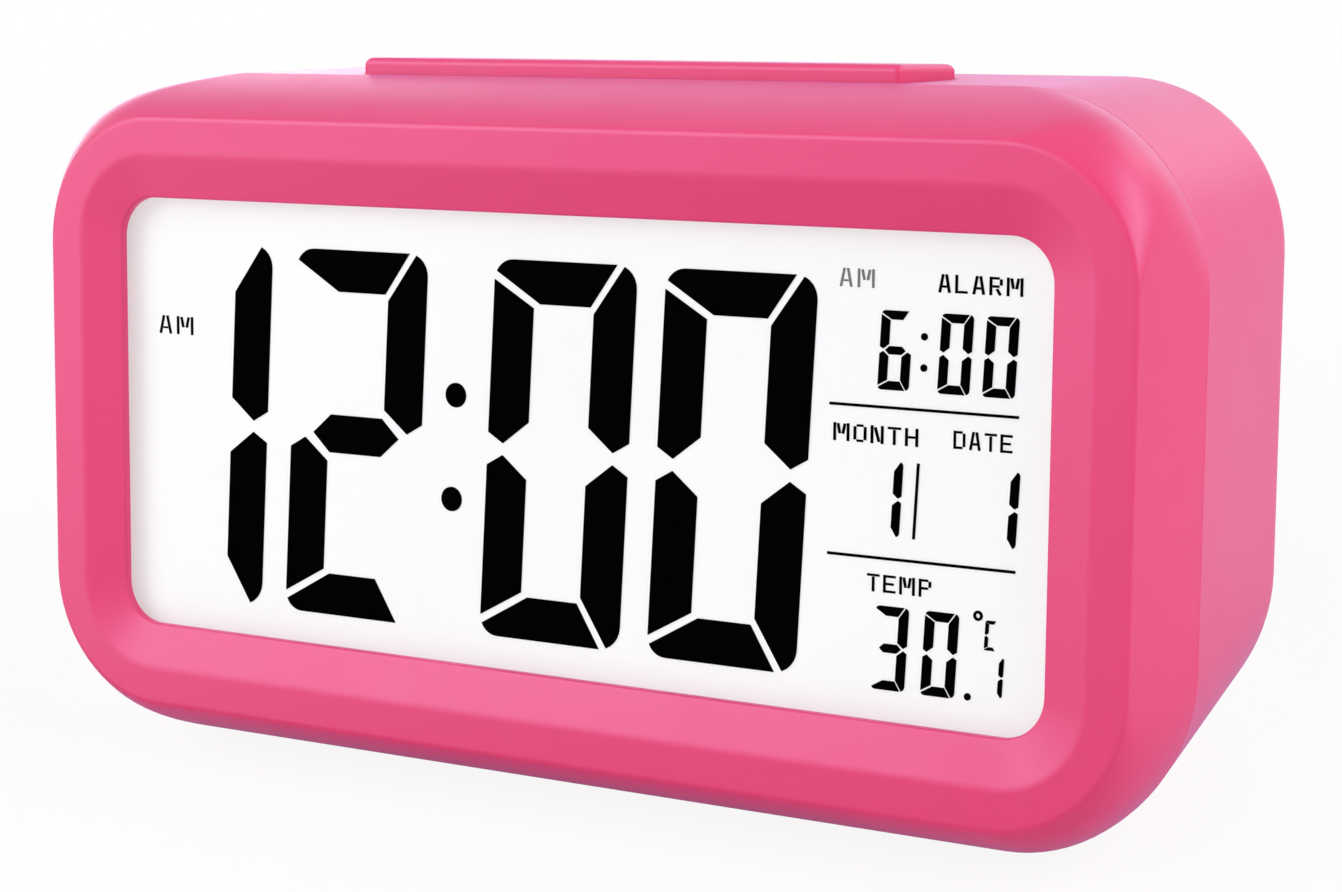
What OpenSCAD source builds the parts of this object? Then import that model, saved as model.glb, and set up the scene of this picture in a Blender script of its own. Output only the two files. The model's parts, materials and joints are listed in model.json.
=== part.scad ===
// Desk alarm clock: a leaning moulded case with a large liquid crystal display.
// Each piece is drawn upright, with x to the right, y from the window edge towards the back
// and z up from the centre of the window. stand() leans the whole clock back onto its base.

/* [Case] */
// Width of the case where the two shells meet
body_w = 135; // [130:1:150]
// Height of the case where the two shells meet
body_h = 75; // [74:0.5:84]
// Thickness of the case from its front rim to its back
body_d = 45; // [44:0.5:50]
// Angle by which the case leans back
lean = 14; // [9:0.5:16]
// Corner radius of the case where the two shells meet
body_r = 20; // [18:0.5:23]
// Wall thickness of both shells
wall = 2.2; // [1.9:0.1:2.5]
// Depth of the front shell behind the window edge
front_d = 11; // [10.8:0.1:13]
// How far each side closes in from the joint to the back
side_taper = 3.9; // [2:0.1:5]
// How far the top rises from the joint to the back
top_rise = 0.9; // [0:0.1:1.4]
// How much the corner radius shrinks from the joint to the back
corner_taper = 2.4; // [0:0.1:4]
// Roundness of the back edge
back_round = 5; // [4:0.25:6]
// Gap between a moving piece and the opening that it runs in
run_gap = 0.2; // [0.15:0.05:0.3]

/* [Front rim] */
// Width of the slope that leads down to the window
slope_w = 4.7; // [4:0.1:5.5]
// Depth of the window edge behind the front rim
slope_d = 1.5; // [1:0.1:1.8]
// Width of the flat rim at the sides
rim_side = 4.4; // [3.6:0.1:5]
// Width of the flat rim above and below
rim_top = 4.15; // [3.7:0.05:5]
// Width of the outer bevel at the sides
bevel_side = 1.8; // [1.4:0.1:2.6]
// Width of the outer bevel above and below
bevel_top = 4.8; // [4.2:0.1:5.4]
// Corner radius of the outer edge of the rim
rim_r = 14.5; // [12:0.5:16]
// Depth of the bevel's shoulder behind the window edge
shoulder_d = 2.4; // [1.8:0.1:3.4]
// How far the shoulder lies within the case at the sides
shoulder_side = 1.2; // [0.8:0.1:1.5]
// How far the shoulder lies within the case at the top
shoulder_top = 2.1; // [1.5:0.1:3]
// How far the shoulder lies within the case below
shoulder_base = 1.5; // [1:0.1:2.5]
// Corner radius of the shoulder
shoulder_r = 7.5; // [6.5:0.5:12]
// How much rounder the shoulder's lower corners are
shoulder_low = 6; // [4:0.5:8]
// Corner radius of the window
window_r = 4.5; // [3:0.25:6]
// Thickness of the lip around the window
lip_d = 0.8; // [0.6:0.1:1.2]

/* [Display stack] */
// Thickness of the clear lens
lens_t = 1.2; // [1:0.1:1.5]
// How far the lens reaches behind the lip
lens_over = 2; // [1.5:0.1:2]
// Gap between the lens and the display glass
lens_gap = 0.15; // [0.14:0.01:0.3]
// Thickness of a display segment
segment_t = 0.12; // [0.08:0.01:0.13]
// Thickness of one display glass
glass_t = 1.1; // [0.7:0.1:1.2]
// Width of the contact ledge below the rear glass
ledge_w = 3; // [2.6:0.1:3.4]
// Thickness of the diffuser sheet
diffuser_t = 0.3; // [0.2:0.05:0.5]
// Thickness of the light guide
guide_t = 3; // [2.6:0.1:3.2]
// Wall thickness of the backlight tray
tray_wall = 1.8; // [1.4:0.1:1.9]
// Floor thickness of the backlight tray
tray_floor = 1.5; // [1.3:0.1:1.6]
// Height of the lamp strip's room above the window
led_room = 2.05; // [2:0.05:2.3]
// Thickness of the lamp strip
led_board_t = 0.8; // [0.6:0.1:0.8]
// Thickness of the rubber contact strip
zebra_t = 2; // [1.6:0.1:2.2]

/* [Digits] */
// Height of the large digits
digit_h = 39.75; // [36:0.25:41]
// Width of the large digits
digit_w = 17.4; // [16:0.1:18]
// Distance from one large digit to the next
digit_pitch = 20.8; // [20:0.1:22]
// Extra distance across the colon
colon_w = 5.2; // [4:0.1:6]
// Stroke of the upright segments
stroke_v = 5; // [4:0.1:5.4]
// Stroke of the level segments
stroke_h = 4.5; // [3.8:0.1:5]
// Gap between neighbouring segments
segment_gap = 0.9; // [0.6:0.1:1.2]
// Slant of the digits, in degrees
digit_slant = 2.9; // [0:0.1:6]
// Distance from the window's left edge to the middle of the first digit
digits_margin = 10; // [9.5:0.1:11]
// Distance from the window's right edge to the small figures
column_margin = 4.2; // [3:0.1:6]
// Height of the alarm figures
alarm_h = 7.7; // [6:0.1:8]
// Height of the date figures
date_h = 7.4; // [6:0.1:8]
// Height of the temperature figures
temp_h = 8.3; // [6:0.1:8.6]
// Thickness of the dividing lines
line_t = 0.28; // [0.2:0.02:0.4]

/* [Boards] */
// Thickness of the circuit boards
board_t = 1.6; // [1.2:0.1:1.6]
// Height of the main board above the backlight tray
board_rise = 1.5; // [1.2:0.1:1.8]
// Width of a push switch
switch_w = 6; // [5.6:0.1:6.4]
// Height of a push switch
switch_h = 3.5; // [3.2:0.1:3.8]
// Radius of a push switch's plunger
plunger_r = 1.7; // [1.4:0.1:1.9]
// Clearance of a plunger in its switch
plunger_gap = 0.05; // [0.04:0.01:0.08]
// Width of the ribbon cable
ribbon_w = 10; // [8:0.5:12]
// Thickness of the ribbon cable
ribbon_t = 0.9; // [0.7:0.1:1.1]
// Radius of the single wires
wire_r = 0.6; // [0.5:0.05:0.7]

/* [Snooze bar] */
// Length of the snooze bar
bar_w = 66.6; // [60:0.2:67]
// Width of the snooze bar from front to back
bar_d = 12.5; // [11:0.1:14]
// Distance from the joint of the shells to the bar's front edge
bar_set_back = 2.5; // [2.2:0.1:3.5]
// Height of the bar above the case
bar_rise = 1.9; // [1.5:0.1:2.6]
// Corner radius of the bar
bar_r = 1.2; // [0.8:0.1:2]
// Roundness of the bar's upper edge
bar_edge = 0.5; // [0.3:0.05:0.7]
// Reach of the flange that holds the bar in the case
bar_flange = 1.2; // [1:0.1:1.4]
// Travel of the bar when pressed
bar_travel = 0.8; // [0.5:0.05:1]
// Radius of the stem that works the snooze switch
stem_r = 2.2; // [1.8:0.1:2.6]
// Distance from the bar's middle to the posts of the snooze board
snooze_post_x = 38; // [37.8:0.1:38.5]

/* [Rear controls] */
// Radius of the rear buttons
button_r = 3.9; // [3.2:0.1:4.4]
// Height of the buttons above the back
button_rise = 1; // [0.8:0.1:1.4]
// Reach of the flange inside the back
button_flange = 1.1; // [0.8:0.1:1.4]
// Travel of a button when pressed
button_travel = 0.6; // [0.4:0.05:0.7]
// Distance from one button to the next
button_pitch = 16.5; // [15:0.1:17]
// Distance of the buttons below the middle of the strip above the battery door
controls_drop = 0.85; // [0.4:0.05:1.2]
// Travel of the alarm switch
knob_travel = 3; // [2:0.1:3.4]
// Length of the alarm switch's knob
knob_w = 3.2; // [2.8:0.1:3.6]
// Radius of the sounder disc
sounder_r = 10; // [8:0.25:11]
// Radius of one sound hole
sound_hole_r = 1; // [0.7:0.05:1.2]

/* [Battery bay] */
// Radius of a battery
cell_r = 5.25; // [5:0.05:5.3]
// Length of a battery with its nub
cell_len = 44.5; // [43.5:0.1:44.6]
// Distance from one battery to the next
cell_pitch = 11.2; // [10.9:0.1:11.4]
// Wall thickness of the battery bay
bay_wall = 1.5; // [1.2:0.1:1.8]
// Room between the batteries and the bay
bay_gap = 0.35; // [0.3:0.05:0.6]
// Thickness of the battery door
door_t = 1.6; // [1.4:0.1:1.8]
// Width of the ledge that the door rests on
door_ledge = 2; // [1.6:0.1:2.4]
// Radius of the door's hinge pins
pin_r = 0.65; // [0.5:0.05:0.65]
// Clearance of the hinge pins
pin_gap = 0.08; // [0.05:0.01:0.1]
// Thickness of the contact plates
contact_t = 0.4; // [0.3:0.05:0.5]
// Length of a contact spring
spring_len = 6.7; // [6.2:0.1:7.2]
// Radius of the spring's wire
spring_wire_r = 0.4; // [0.3:0.02:0.42]
// Turns of a contact spring
spring_turns = 4; // [3:1:4]

/* [Fasteners] */
// Radius of the case screws
screw_r = 1.2; // [1:0.05:1.3]
// Radius of the case screws' heads
head_r = 2.4; // [2:0.1:2.6]
// Height of the case screws' heads
head_h = 1.8; // [1.4:0.1:2]
// Radius of the small screws
small_screw_r = 1; // [0.8:0.05:1.05]
// Radius of the small screws' heads
small_head_r = 1.9; // [1.6:0.1:2]
// Height of the small screws' heads
small_head_h = 1.4; // [1.1:0.1:1.6]
// Clearance of a screw in its hole
screw_gap = 0.05; // [0.03:0.01:0.1]
// Wall of a screw boss around the screw
boss_wall = 1.2; // [1:0.05:1.3]

/* [Hidden] */
$fn = 48;

// Colours
pink = [0.90, 0.27, 0.49];
clear_tint = [0.85, 0.92, 0.95, 0.4];
board_green = [0.10, 0.40, 0.20];
steel = [0.72, 0.73, 0.75];
brass_tone = [0.80, 0.65, 0.30];
black_tone = [0.06, 0.06, 0.07];
white_tone = [0.94, 0.94, 0.93];

// Small allowances: how far a boss sinks into its wall, how far a cut overshoots, air beside a piece
sink = 0.3;
over = 0.1;
air = 0.2;

// Outline of the case. A ring is [depth, half width, top, bottom, corner radius, extra radius below].
half_w = body_w / 2;
half_h = body_h / 2;
back_y = body_d - slope_d;
inner_back = back_y - wall;
function base_z(y) = -half_h + (y - front_d) * tan(lean);
function wall_ring(y) =
  let (t = (y - front_d) / (back_y - front_d))
  [y, half_w - side_taper * t, half_h + top_rise * t, base_z(y), body_r - corner_taper * t, 0];
function inset(g, d) = [g[0], g[1] - d, g[2] - d, g[3] + d, g[4] - d, g[5]];
function at_depth(g, y) = [y, g[1], g[2], g[3], g[4], g[5]];
function mix(a, b, t) = a + (b - a) * t;
function bend(a, b, c, n) =
  [for (i = [0:n]) let (t = i / n) (1 - t) * (1 - t) * a + 2 * t * (1 - t) * b + t * t * c];

window_w = body_w - 2 * (bevel_side + rim_side + slope_w);
window_h = body_h - 2 * (bevel_top + rim_top + slope_w);
win_x = window_w / 2;
win_z = window_h / 2;
rim_z = half_h - bevel_top;
window_ring = [0, win_x, win_z, -win_z, window_r, 0];
slope_ring = at_depth(inset(window_ring, -slope_w), -slope_d);
rim_ring = [-slope_d, half_w - bevel_side, rim_z, -rim_z, rim_r, 0];
joint_ring = wall_ring(front_d);
joint_inner = inset(joint_ring, wall);
face_ring = at_depth(inset(rim_ring, wall), lip_d);
// The outer bevel bows from the rim to the joint and leans towards its shoulder
shoulder_ring = [shoulder_d, half_w - shoulder_side, half_h - shoulder_top, shoulder_base - half_h,
                 shoulder_r, shoulder_low];

// Softness of the two creases of the rim, as shares of the faces beside them
crease_in = 0.1;
crease_out = 0.1;
edge_in = 0.12;
edge_out = 0.1;
bevel_steps = 7;
bevel_start = mix(rim_ring, shoulder_ring, edge_out);
bevel_rings = bend(bevel_start, shoulder_ring, joint_ring, bevel_steps);
front_loop = concat(
  [at_depth(window_ring, lip_d), window_ring],
  bend(mix(slope_ring, window_ring, crease_in), slope_ring, mix(slope_ring, rim_ring, crease_out), 4),
  bend(mix(rim_ring, slope_ring, edge_in), rim_ring, bevel_start, 4),
  [for (i = [1:bevel_steps]) bevel_rings[i]],
  [joint_inner, face_ring]);

back_edge = wall_ring(back_y);
inner_edge = inset(wall_ring(inner_back), wall);
rear_rings = concat(
  bend(inset(inner_edge, back_round - wall), inner_edge,
       inset(wall_ring(back_y - back_round), wall), 4),
  [joint_inner, joint_ring],
  bend(wall_ring(back_y - back_round), back_edge, inset(back_edge, back_round), 6));

// Place of the upright case on the table
function lean_y(y, z) = y * cos(lean) + z * sin(lean);
front_min = min([for (g = front_loop) lean_y(g[0], g[3])]);
back_max = max([for (g = rear_rings) lean_y(g[0], g[2])]);
case_mid_y = (front_min + back_max) / 2;
case_lift = front_d * sin(lean) + half_h * cos(lean);

// Depths of the display stack
lens_y = [lip_d, lip_d + lens_t];
lcd_front = lens_y[1] + lens_gap;
lcd_mid = lcd_front + glass_t;
lcd_back = lcd_mid + glass_t;
guide_y = [lcd_back + diffuser_t, lcd_back + diffuser_t + guide_t];
tray_back = guide_y[1] + tray_floor;
main_y = [tray_back + board_rise, tray_back + board_rise + board_t];

// Backlight tray and display glass
pocket_side = 0.4;
pocket_low = 0.7;
pocket_x = win_x + pocket_side;
pocket_z = [-(win_z + pocket_low), win_z + led_room];
tray_x = pocket_x + tray_wall;
tray_z = [pocket_z[0] - tray_wall, pocket_z[1] + tray_wall];
lcd_x = tray_x - air;
lcd_z = [tray_z[0] + air, tray_z[1] - air];
ledge_z = lcd_z[0] - ledge_w;
lens_x = win_x + lens_over;
lens_z = win_z + lens_over;
ledge_in = 3;
ledge_x = lcd_x - ledge_in;
zebra_in = 1;
zebra_x = ledge_x - zebra_in;
zebra_z = [ledge_z + (ledge_w - zebra_t) / 2 - air, ledge_z + (ledge_w + zebra_t) / 2 - air];
led_z = [pocket_z[1] - led_board_t, pocket_z[1]];
led_in = 7;
led_x = win_x - led_in;
led_spots = [-36, -12, 12, 36];
led_len = 3;
pin_spots = [-46, 46];
led_pin_r = 0.4;
led_pin_gap = 0.2;

// Screw bosses of the front shell
boss_r = screw_r + boss_wall;
case_screw_out = 8;
case_screw_x = snooze_post_x + case_screw_out;
case_screw_z = tray_z[1] + air + boss_r;
case_pilot = 8;
screw_short = 1;
ear_r = small_screw_r + boss_wall;
ear_t = 2;
ear_x = tray_x + air + ear_r;
ear_z = 14;
ear_y = [tray_back - ear_t, tray_back];
ear_pilot = 5;
boss_start = lip_d - sink;
tongue_x = 30;
tongue_w = 10;
tongue_t = 1.5;
tongue_drop = 1.2;
tongue_reach = 3;
tongue_root = 6;

// Main board
main_in = 0.6;
main_over = 1.1;
post_in = 4;
main_x = win_x - main_in;
main_z = [ledge_z, win_z + main_over];
post_x = main_x - post_in;
post_z = 20;
post_r = small_screw_r + boss_wall;
pilot_floor = 0.4;
board_pilot = tray_floor + board_rise - pilot_floor;
chip_place = [10, -5];
chip_r = 7;
chip_rise = 1.8;
chip_sphere = (chip_r * chip_r + chip_rise * chip_rise) / (2 * chip_rise);
crystal_r = 1;
crystal_len = 6;
crystal_place = [24, -5];
cap_r = 2.5;
cap_h = 7;
cap_places = [[-18, -12], [-26, -12]];
resistor = [2, 0.6, 1.2];
resistor_start = [-6, -16];
resistor_pitch = [4, -3];
resistor_places = [for (i = [0:3], j = [0:1])
  resistor_start + [i * resistor_pitch[0], j * resistor_pitch[1]]];
thermistor_in = 10;
thermistor_place = [thermistor_in - main_x, -22];
bead_r = 1.2;
bead_rise = 4;
bead_lead_r = 0.3;
bead_lead_x = 0.7;
socket_h = 2.8;
socket_t = 2.4;
socket_x = 6.2;
ribbon_sag = 2;
socket_in = 2.5;

// Snooze bar and its board
bar_x = bar_w / 2;
bar_y = [front_d + bar_set_back, front_d + bar_set_back + bar_d];
bar_mid = (bar_y[0] + bar_y[1]) / 2;
bar_top = half_h + bar_rise;
flange_t = 1.2;
flange_z = [half_h - wall - run_gap - flange_t, half_h - wall - run_gap];
bar_skin = 1.5;
edge_slice = 0.1;
bar_wall = 2;
stem_len = 2.7;
plunger_rise = 1.5;
plunger_len = 2.8;
bore_spare = 0.3;
stem_z = flange_z[0] - stem_len;
snooze_z = [stem_z - plunger_rise - switch_h - board_t, stem_z - plunger_rise - switch_h];
snooze_post_r = small_screw_r + boss_wall;
board_margin = 3;
snooze_board_x = snooze_post_x + board_margin;
snooze_board_d = 10;
snooze_pilot = 6;

// Battery bay and door
door_y = [back_y - door_t, back_y];
pocket_y = door_y[0] - run_gap;
cell_y = pocket_y - bay_gap - cell_r;
bay_floor = cell_y - cell_r - air;
cells_h = 2 * cell_pitch + 2 * cell_r;
bay_h = cells_h + 2 * bay_gap;
bay_x = cell_len / 2 + spring_len / 2 + contact_t;
door_x = bay_x + door_ledge;
door_z0 = base_z(back_y) + back_round + run_gap;
hinge_room = 0.8;
latch_room = 1.2;
bay_z = [door_z0 + hinge_room, door_z0 + hinge_room + bay_h];
door_z = [door_z0, bay_z[1] + latch_room];
cell_z = [for (i = [0:2]) bay_z[1] - bay_gap - cell_r - i * cell_pitch];
frame_side = 2.4;
frame_edge = 2;
frame_t = 1.7;
frame_x = door_x + frame_side;
frame_z = [door_z[0] - frame_edge, door_z[1] + frame_edge];
frame_y = pocket_y - frame_t;
pin_y = door_y[0] + door_t / 2;
pin_z = door_z[0] + door_t / 2;
pin_len = 1.4;
latch_w = 12;
latch_h = 1.4;
latch_t = 1;
nub_r = 1.9;
nub_len = 0.8;
contact_half = 4.4;
tail_w = 3;
tail_len = 4;
plate_x = bay_x - contact_t;
tail_y = bay_floor - bay_wall - tail_len + sink;

// Rear controls and their board
controls_z = (frame_z[1] + half_h - wall) / 2 - controls_drop;
button_x = [for (i = [0:3]) (i - 2) * button_pitch];
knob_shift = 1;
knob_x = 2 * button_pitch + knob_shift;
flange_back = inner_back - run_gap;
button_flange_t = 1.2;
button_stem = 1.3;
button_front = flange_back - button_flange_t - button_stem;
key_y = [button_front - plunger_rise - switch_h - board_t, button_front - plunger_rise - switch_h];
key_x = 40;
key_gap = 1;
key_margin = 2.6;
key_post_x = [button_x[0] + button_pitch / 2, button_x[3] + button_pitch / 2];
key_post_rise = 4.5;
key_post_z = controls_z + key_post_rise;
key_z = [bay_z[1] + bay_wall + key_gap, key_post_z + key_margin];
key_pilot = 5;
ribbon_start = 14;
ribbon_z = [ribbon_start, key_z[0] + socket_in];
knob_h = 2.4;
knob_slot_x = (knob_w + knob_travel) / 2 + run_gap;
knob_plate_over = 1.2;
knob_plate = [knob_w + 2 * knob_travel + 2 * knob_plate_over, 5.6];
knob_stem = [2, 1.8];
knob_stem_in = 0.8;
alarm_switch_w = 10;
alarm_switch_d = 4.4;
knob_rest = knob_x - knob_travel / 2;

// Sounder
sounder_in = 23.5;
sounder_place = [half_w - sounder_in, -8];
sounder_t = 0.25;
sounder_ring_w = 2;
sounder_ring_h = 2;
sounder_y = inner_back - sounder_ring_h;
crystal_disc_r = 0.7 * sounder_r;
sound_ring_r = 4.5;

// Contact spring: a cone that starts flat on its plate and ends flat on its battery
spring_r = [3.6, 2.2];
spring_flat = 0.25;
spring_seat = 0.05;
spring_steps = 8;
spring_sides = 6;

// Routes of the wires: from, bow at the start, bow at the end, to
lead_bow = 6;
sounder_bow = 9;
snooze_bow = 3;
red_pad = [-34, 2];
black_pad = [32, -12];
sounder_pad = sounder_place + [4, 4];
snooze_pad = [0, 20];
lead_gap = 2;
red_route = [[-plate_x - contact_t / 2, tail_y, cell_z[0]], [0, -lead_bow, 0],
             [0, lead_bow, 0], [red_pad[0], main_y[1], red_pad[1]]];
black_route = [[plate_x + contact_t / 2, tail_y, cell_z[2]], [0, -lead_bow, 0],
               [0, lead_bow, 0], [black_pad[0], main_y[1], black_pad[1]]];
sounder_route = [[sounder_place[0], sounder_y - 2 * sounder_t, sounder_place[1]], [0, -sounder_bow, 0],
                 [0, sounder_bow, 0], [sounder_pad[0], main_y[1], sounder_pad[1]]];
snooze_route = [[0, bar_mid, snooze_z[0]], [0, 0, -snooze_bow],
                [0, snooze_bow, 0], [snooze_pad[0], main_y[1], snooze_pad[1]]];
wire_steps = 12;
wire_sides = 8;

// Leans the upright case back and sets it on the table
module stand() {
  translate([0, -case_mid_y, case_lift]) rotate([-lean, 0, 0]) children();
}

// A block between two limits on each axis
module block(x, y, z) {
  translate([x[0], y[0], z[0]]) cube([x[1] - x[0], y[1] - y[0], z[1] - z[0]]);
}

function about(middle, half) = [middle - half, middle + half];

// A round rod along the depth
module rod(place, r, y) {
  translate([place[0], y[0], place[1]]) rotate([-90, 0, 0]) cylinder(r = r, h = y[1] - y[0]);
}

// A flat outline, drawn in x and z, made solid between two depths
module panel(y) {
  translate([0, y[1], 0]) rotate([90, 0, 0]) linear_extrude(y[1] - y[0]) children();
}

// Outline of a plate with round corners
module rounded(x, z, r) {
  translate([x[0], z[0] + r]) square([x[1] - x[0], z[1] - z[0] - 2 * r]);
  translate([x[0] + r, z[0]]) square([x[1] - x[0] - 2 * r, z[1] - z[0]]);
  for (cx = [x[0] + r, x[1] - r], cz = [z[0] + r, z[1] - r])
    translate([cx, cz]) circle(r);
}

// Points of a ring of the case, from the right end of its top right corner round to the left
corner_steps = 12;
ring_size = 4 * (corner_steps + 1);
function ring_points(g) =
  [for (q = [0:3], i = [0:corner_steps])
    let (a = 90 * (q + i / corner_steps),
         r = g[4] + (q < 2 ? 0 : g[5]),
         cx = (q == 0 || q == 3 ? 1 : -1) * (g[1] - r),
         cz = q < 2 ? g[2] - r : g[3] + r)
    [cx + r * cos(a), g[0], cz + r * sin(a)]];

// Triangles between ring i and ring j of a skin with m points a ring
function band(i, j, m) =
  [for (k = [0:m - 1], half = [0:1])
    let (n = (k + 1) % m)
    half == 0 ? [i * m + k, i * m + n, j * m + n] : [i * m + k, j * m + n, j * m + k]];
function join(lists) = [for (l = lists, e = l) e];

// A skin through rings that closes on itself, as a frame around a window does
module skin_loop(rings) {
  n = len(rings);
  polyhedron(points = join([for (g = rings) ring_points(g)]),
             faces = join([for (i = [0:n - 1]) band(i, (i + 1) % n, ring_size)]));
}

// A skin through rings with a flat end at each side
module skin_capped(points_by_ring) {
  n = len(points_by_ring);
  m = len(points_by_ring[0]);
  polyhedron(points = join(points_by_ring),
             faces = concat([[for (k = [m - 1:-1:0]) k]],
                            join([for (i = [0:n - 2]) band(i, i + 1, m)]),
                            [[for (k = [0:m - 1]) (n - 1) * m + k]]));
}

// A screw with its seat at the origin and its head upwards
module screw(r, cap_r, cap_h, length) {
  slot_w = cap_r / 4;
  difference() {
    union() {
      cylinder(r = cap_r, h = cap_h);
      translate([0, 0, -length]) cylinder(r = r, h = length + sink);
    }
    for (turn = [0, 90])
      rotate([0, 0, turn])
        block(about(0, 0.7 * cap_r), about(0, slot_w / 2), [cap_h / 2, cap_h + over]);
  }
}

// A wire on a curve between two points, which leaves each one along its bow
function unit(v) = v / norm(v);
function route_point(w, t) =
  (1 - t) * (1 - t) * (1 - t) * w[0] + 3 * (1 - t) * (1 - t) * t * (w[0] + w[1])
  + 3 * (1 - t) * t * t * (w[3] + w[2]) + t * t * t * w[3];
function route_way(w, t) =
  unit((1 - t) * (1 - t) * w[1] + 2 * (1 - t) * t * (w[3] + w[2] - w[0] - w[1]) - t * t * w[2]);
function wire_ring(w, t) =
  let (way = route_way(w, t), side = unit(cross(way, [1, 0, 0])), up = cross(side, way))
  [for (k = [0:wire_sides - 1])
    route_point(w, t) + wire_r * (cos(360 * k / wire_sides) * side + sin(360 * k / wire_sides) * up)];
module wire(w) {
  skin_capped([for (i = [0:wire_steps]) wire_ring(w, i / wire_steps)]);
}
function shifted(w, d) = [w[0] + d, w[1], w[2], w[3] + d];

// A segment outline is drawn on a digit centred at the origin, then slanted
digit_x = digit_w / 2;
digit_z = digit_h / 2;
cut_left = 1.7;
cut_right = 2;
corner_left = 2.2;
corner_right = 2.5;
gap_half = segment_gap / 2;
tip_gap = 0.62;
tip_in = 1.9;
shoulder_out = 1.1;
shoulder_in = 2.4;
middle_tip = 3;
middle_slope = 2.3;
middle_half = 2.07;
right_drop = gap_half * stroke_h / (stroke_v - cut_right);
left_run = gap_half * stroke_v / (stroke_h - cut_left);
arc_steps = 5;
function arc(cx, cz, r, from, to) =
  [for (i = [0:arc_steps]) let (a = from + (to - from) * i / arc_steps) [cx + r * cos(a), cz + r * sin(a)]];
top_segment = concat(
  arc(corner_left - digit_x, digit_z - corner_left, corner_left, 155, 90),
  [[digit_x - cut_right - gap_half, digit_z], [digit_x - stroke_v - gap_half, digit_z - stroke_h],
   [stroke_v + left_run - digit_x, digit_z - stroke_h]]);
right_segment = concat(
  arc(digit_x - corner_right, digit_z - corner_right, corner_right, 68, 0),
  [[digit_x, tip_gap + shoulder_out], [digit_x - tip_in, tip_gap],
   [digit_x - stroke_v, tip_gap + shoulder_in], [digit_x - stroke_v, digit_z - stroke_h - right_drop]]);
left_segment = [
  [-digit_x, digit_z - cut_left - gap_half], [stroke_v - digit_x, digit_z - stroke_h - gap_half],
  [stroke_v - digit_x, tip_gap + shoulder_in], [tip_in - digit_x, tip_gap],
  [-digit_x, tip_gap + shoulder_out]];
middle_segment = [for (s = [-1, 1])
  each [[s * (digit_x - middle_tip), 0],
        [s * (digit_x - middle_tip - middle_slope), -s * middle_half],
        [-s * (digit_x - middle_tip - middle_slope), -s * middle_half]]];
function flipped(points) = [for (p = points) [p[0], -p[1]]];
segments = [top_segment, right_segment, flipped(right_segment), flipped(top_segment),
            flipped(left_segment), left_segment, middle_segment];
lit_segments = [[0, 1, 2, 3, 4, 5], [1, 2], [0, 1, 6, 4, 3], [0, 1, 6, 2, 3], [], [], [0, 5, 6, 4, 3, 2]];
letter_c = [0, 3, 4, 5];
function slanted(points) = [for (p = points) [p[0] + p[1] * tan(digit_slant), p[1]]];
module figure(lit, place, height) {
  translate(place) scale(height / digit_h)
    for (s = lit)
      polygon(slanted(segments[s]));
}
module number(value, place, height) {
  figure(lit_segments[value], place, height);
}

// Places of the figures on the display
big_z = -0.87;
big_x = [for (i = [0:3]) digits_margin - win_x + i * digit_pitch + (i > 1 ? colon_w : 0)];
big_values = [1, 2, 0, 0];
colon_x = (big_x[1] + big_x[2]) / 2;
colon_z = [-6.67, 4.4];
colon_r = 1.3;
column_x = win_x - column_margin;
column_w = 20.3;
alarm_z = 12.2;
alarm_x = [column_x - 13.2, column_x - 6.75, column_x - 2];
alarm_values = [6, 0, 0];
alarm_colon = [column_x - 10.1, 1.5];
date_z = -2.25;
date_x = [column_x - 13.9, column_x - 1.5];
divider_x = column_x - 10.7;
temp_z = -16.93;
temp_x = [column_x - 13.2, column_x - 7.8];
temp_values = [3, 0];
temp_dot = [column_x - 4.75, -20.7];
tenths = [column_x - 1.9, -18.5];
tenths_h = 3.9;
degree = [column_x - 3.8, -12.7];
degree_r = 0.5;
celsius = [column_x - 2.4, -14.5];
celsius_h = 2.9;
line_z = [6.64, -8.13];
small_dot_r = 0.36;

module front_shell() {
  color(pink) stand()
  difference() {
    union() {
      skin_loop(front_loop);
      for (sx = [-1, 1]) {
        rod([sx * case_screw_x, case_screw_z], boss_r, [boss_start, front_d]);
        for (sz = [-1, 1])
          rod([sx * ear_x, sz * ear_z], ear_r, [boss_start, ear_y[0]]);
        block(about(sx * tongue_x, tongue_w / 2), [front_d - tongue_root, front_d + tongue_reach],
              [joint_inner[3] + tongue_drop, joint_inner[3] + tongue_drop + tongue_t]);
      }
    }
    for (sx = [-1, 1]) {
      rod([sx * case_screw_x, case_screw_z], screw_r + screw_gap, [front_d - case_pilot, front_d + over]);
      for (sz = [-1, 1])
        rod([sx * ear_x, sz * ear_z], small_screw_r + screw_gap,
            [ear_y[0] - ear_pilot, ear_y[0] + over]);
    }
  }
}

// Seat and well of a case screw
screw_grip = 9;
head_room = 0.5;
tube_wall = 0.9;
screw_seat = front_d + screw_grip;
well_r = head_r + head_room;
tube_r = well_r + tube_wall;

module rear_bosses() {
  block(about(0, frame_x), [frame_y, inner_back + sink], frame_z);
  block(about(0, bay_x + bay_wall), [bay_floor - bay_wall, inner_back + sink],
        [bay_z[0] - bay_wall, bay_z[1] + bay_wall]);
  for (sx = [-1, 1]) {
    rod([sx * case_screw_x, case_screw_z], tube_r, [front_d, inner_back + sink]);
    translate([sx * snooze_post_x, bar_mid, snooze_z[1]])
      cylinder(r = snooze_post_r, h = half_h - wall + sink + top_rise / 2 - snooze_z[1]);
  }
  for (x = key_post_x)
    rod([x, key_post_z], small_screw_r + boss_wall, [key_y[1], inner_back + sink]);
  rod(sounder_place, sounder_r, [sounder_y, inner_back + sink]);
}

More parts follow.
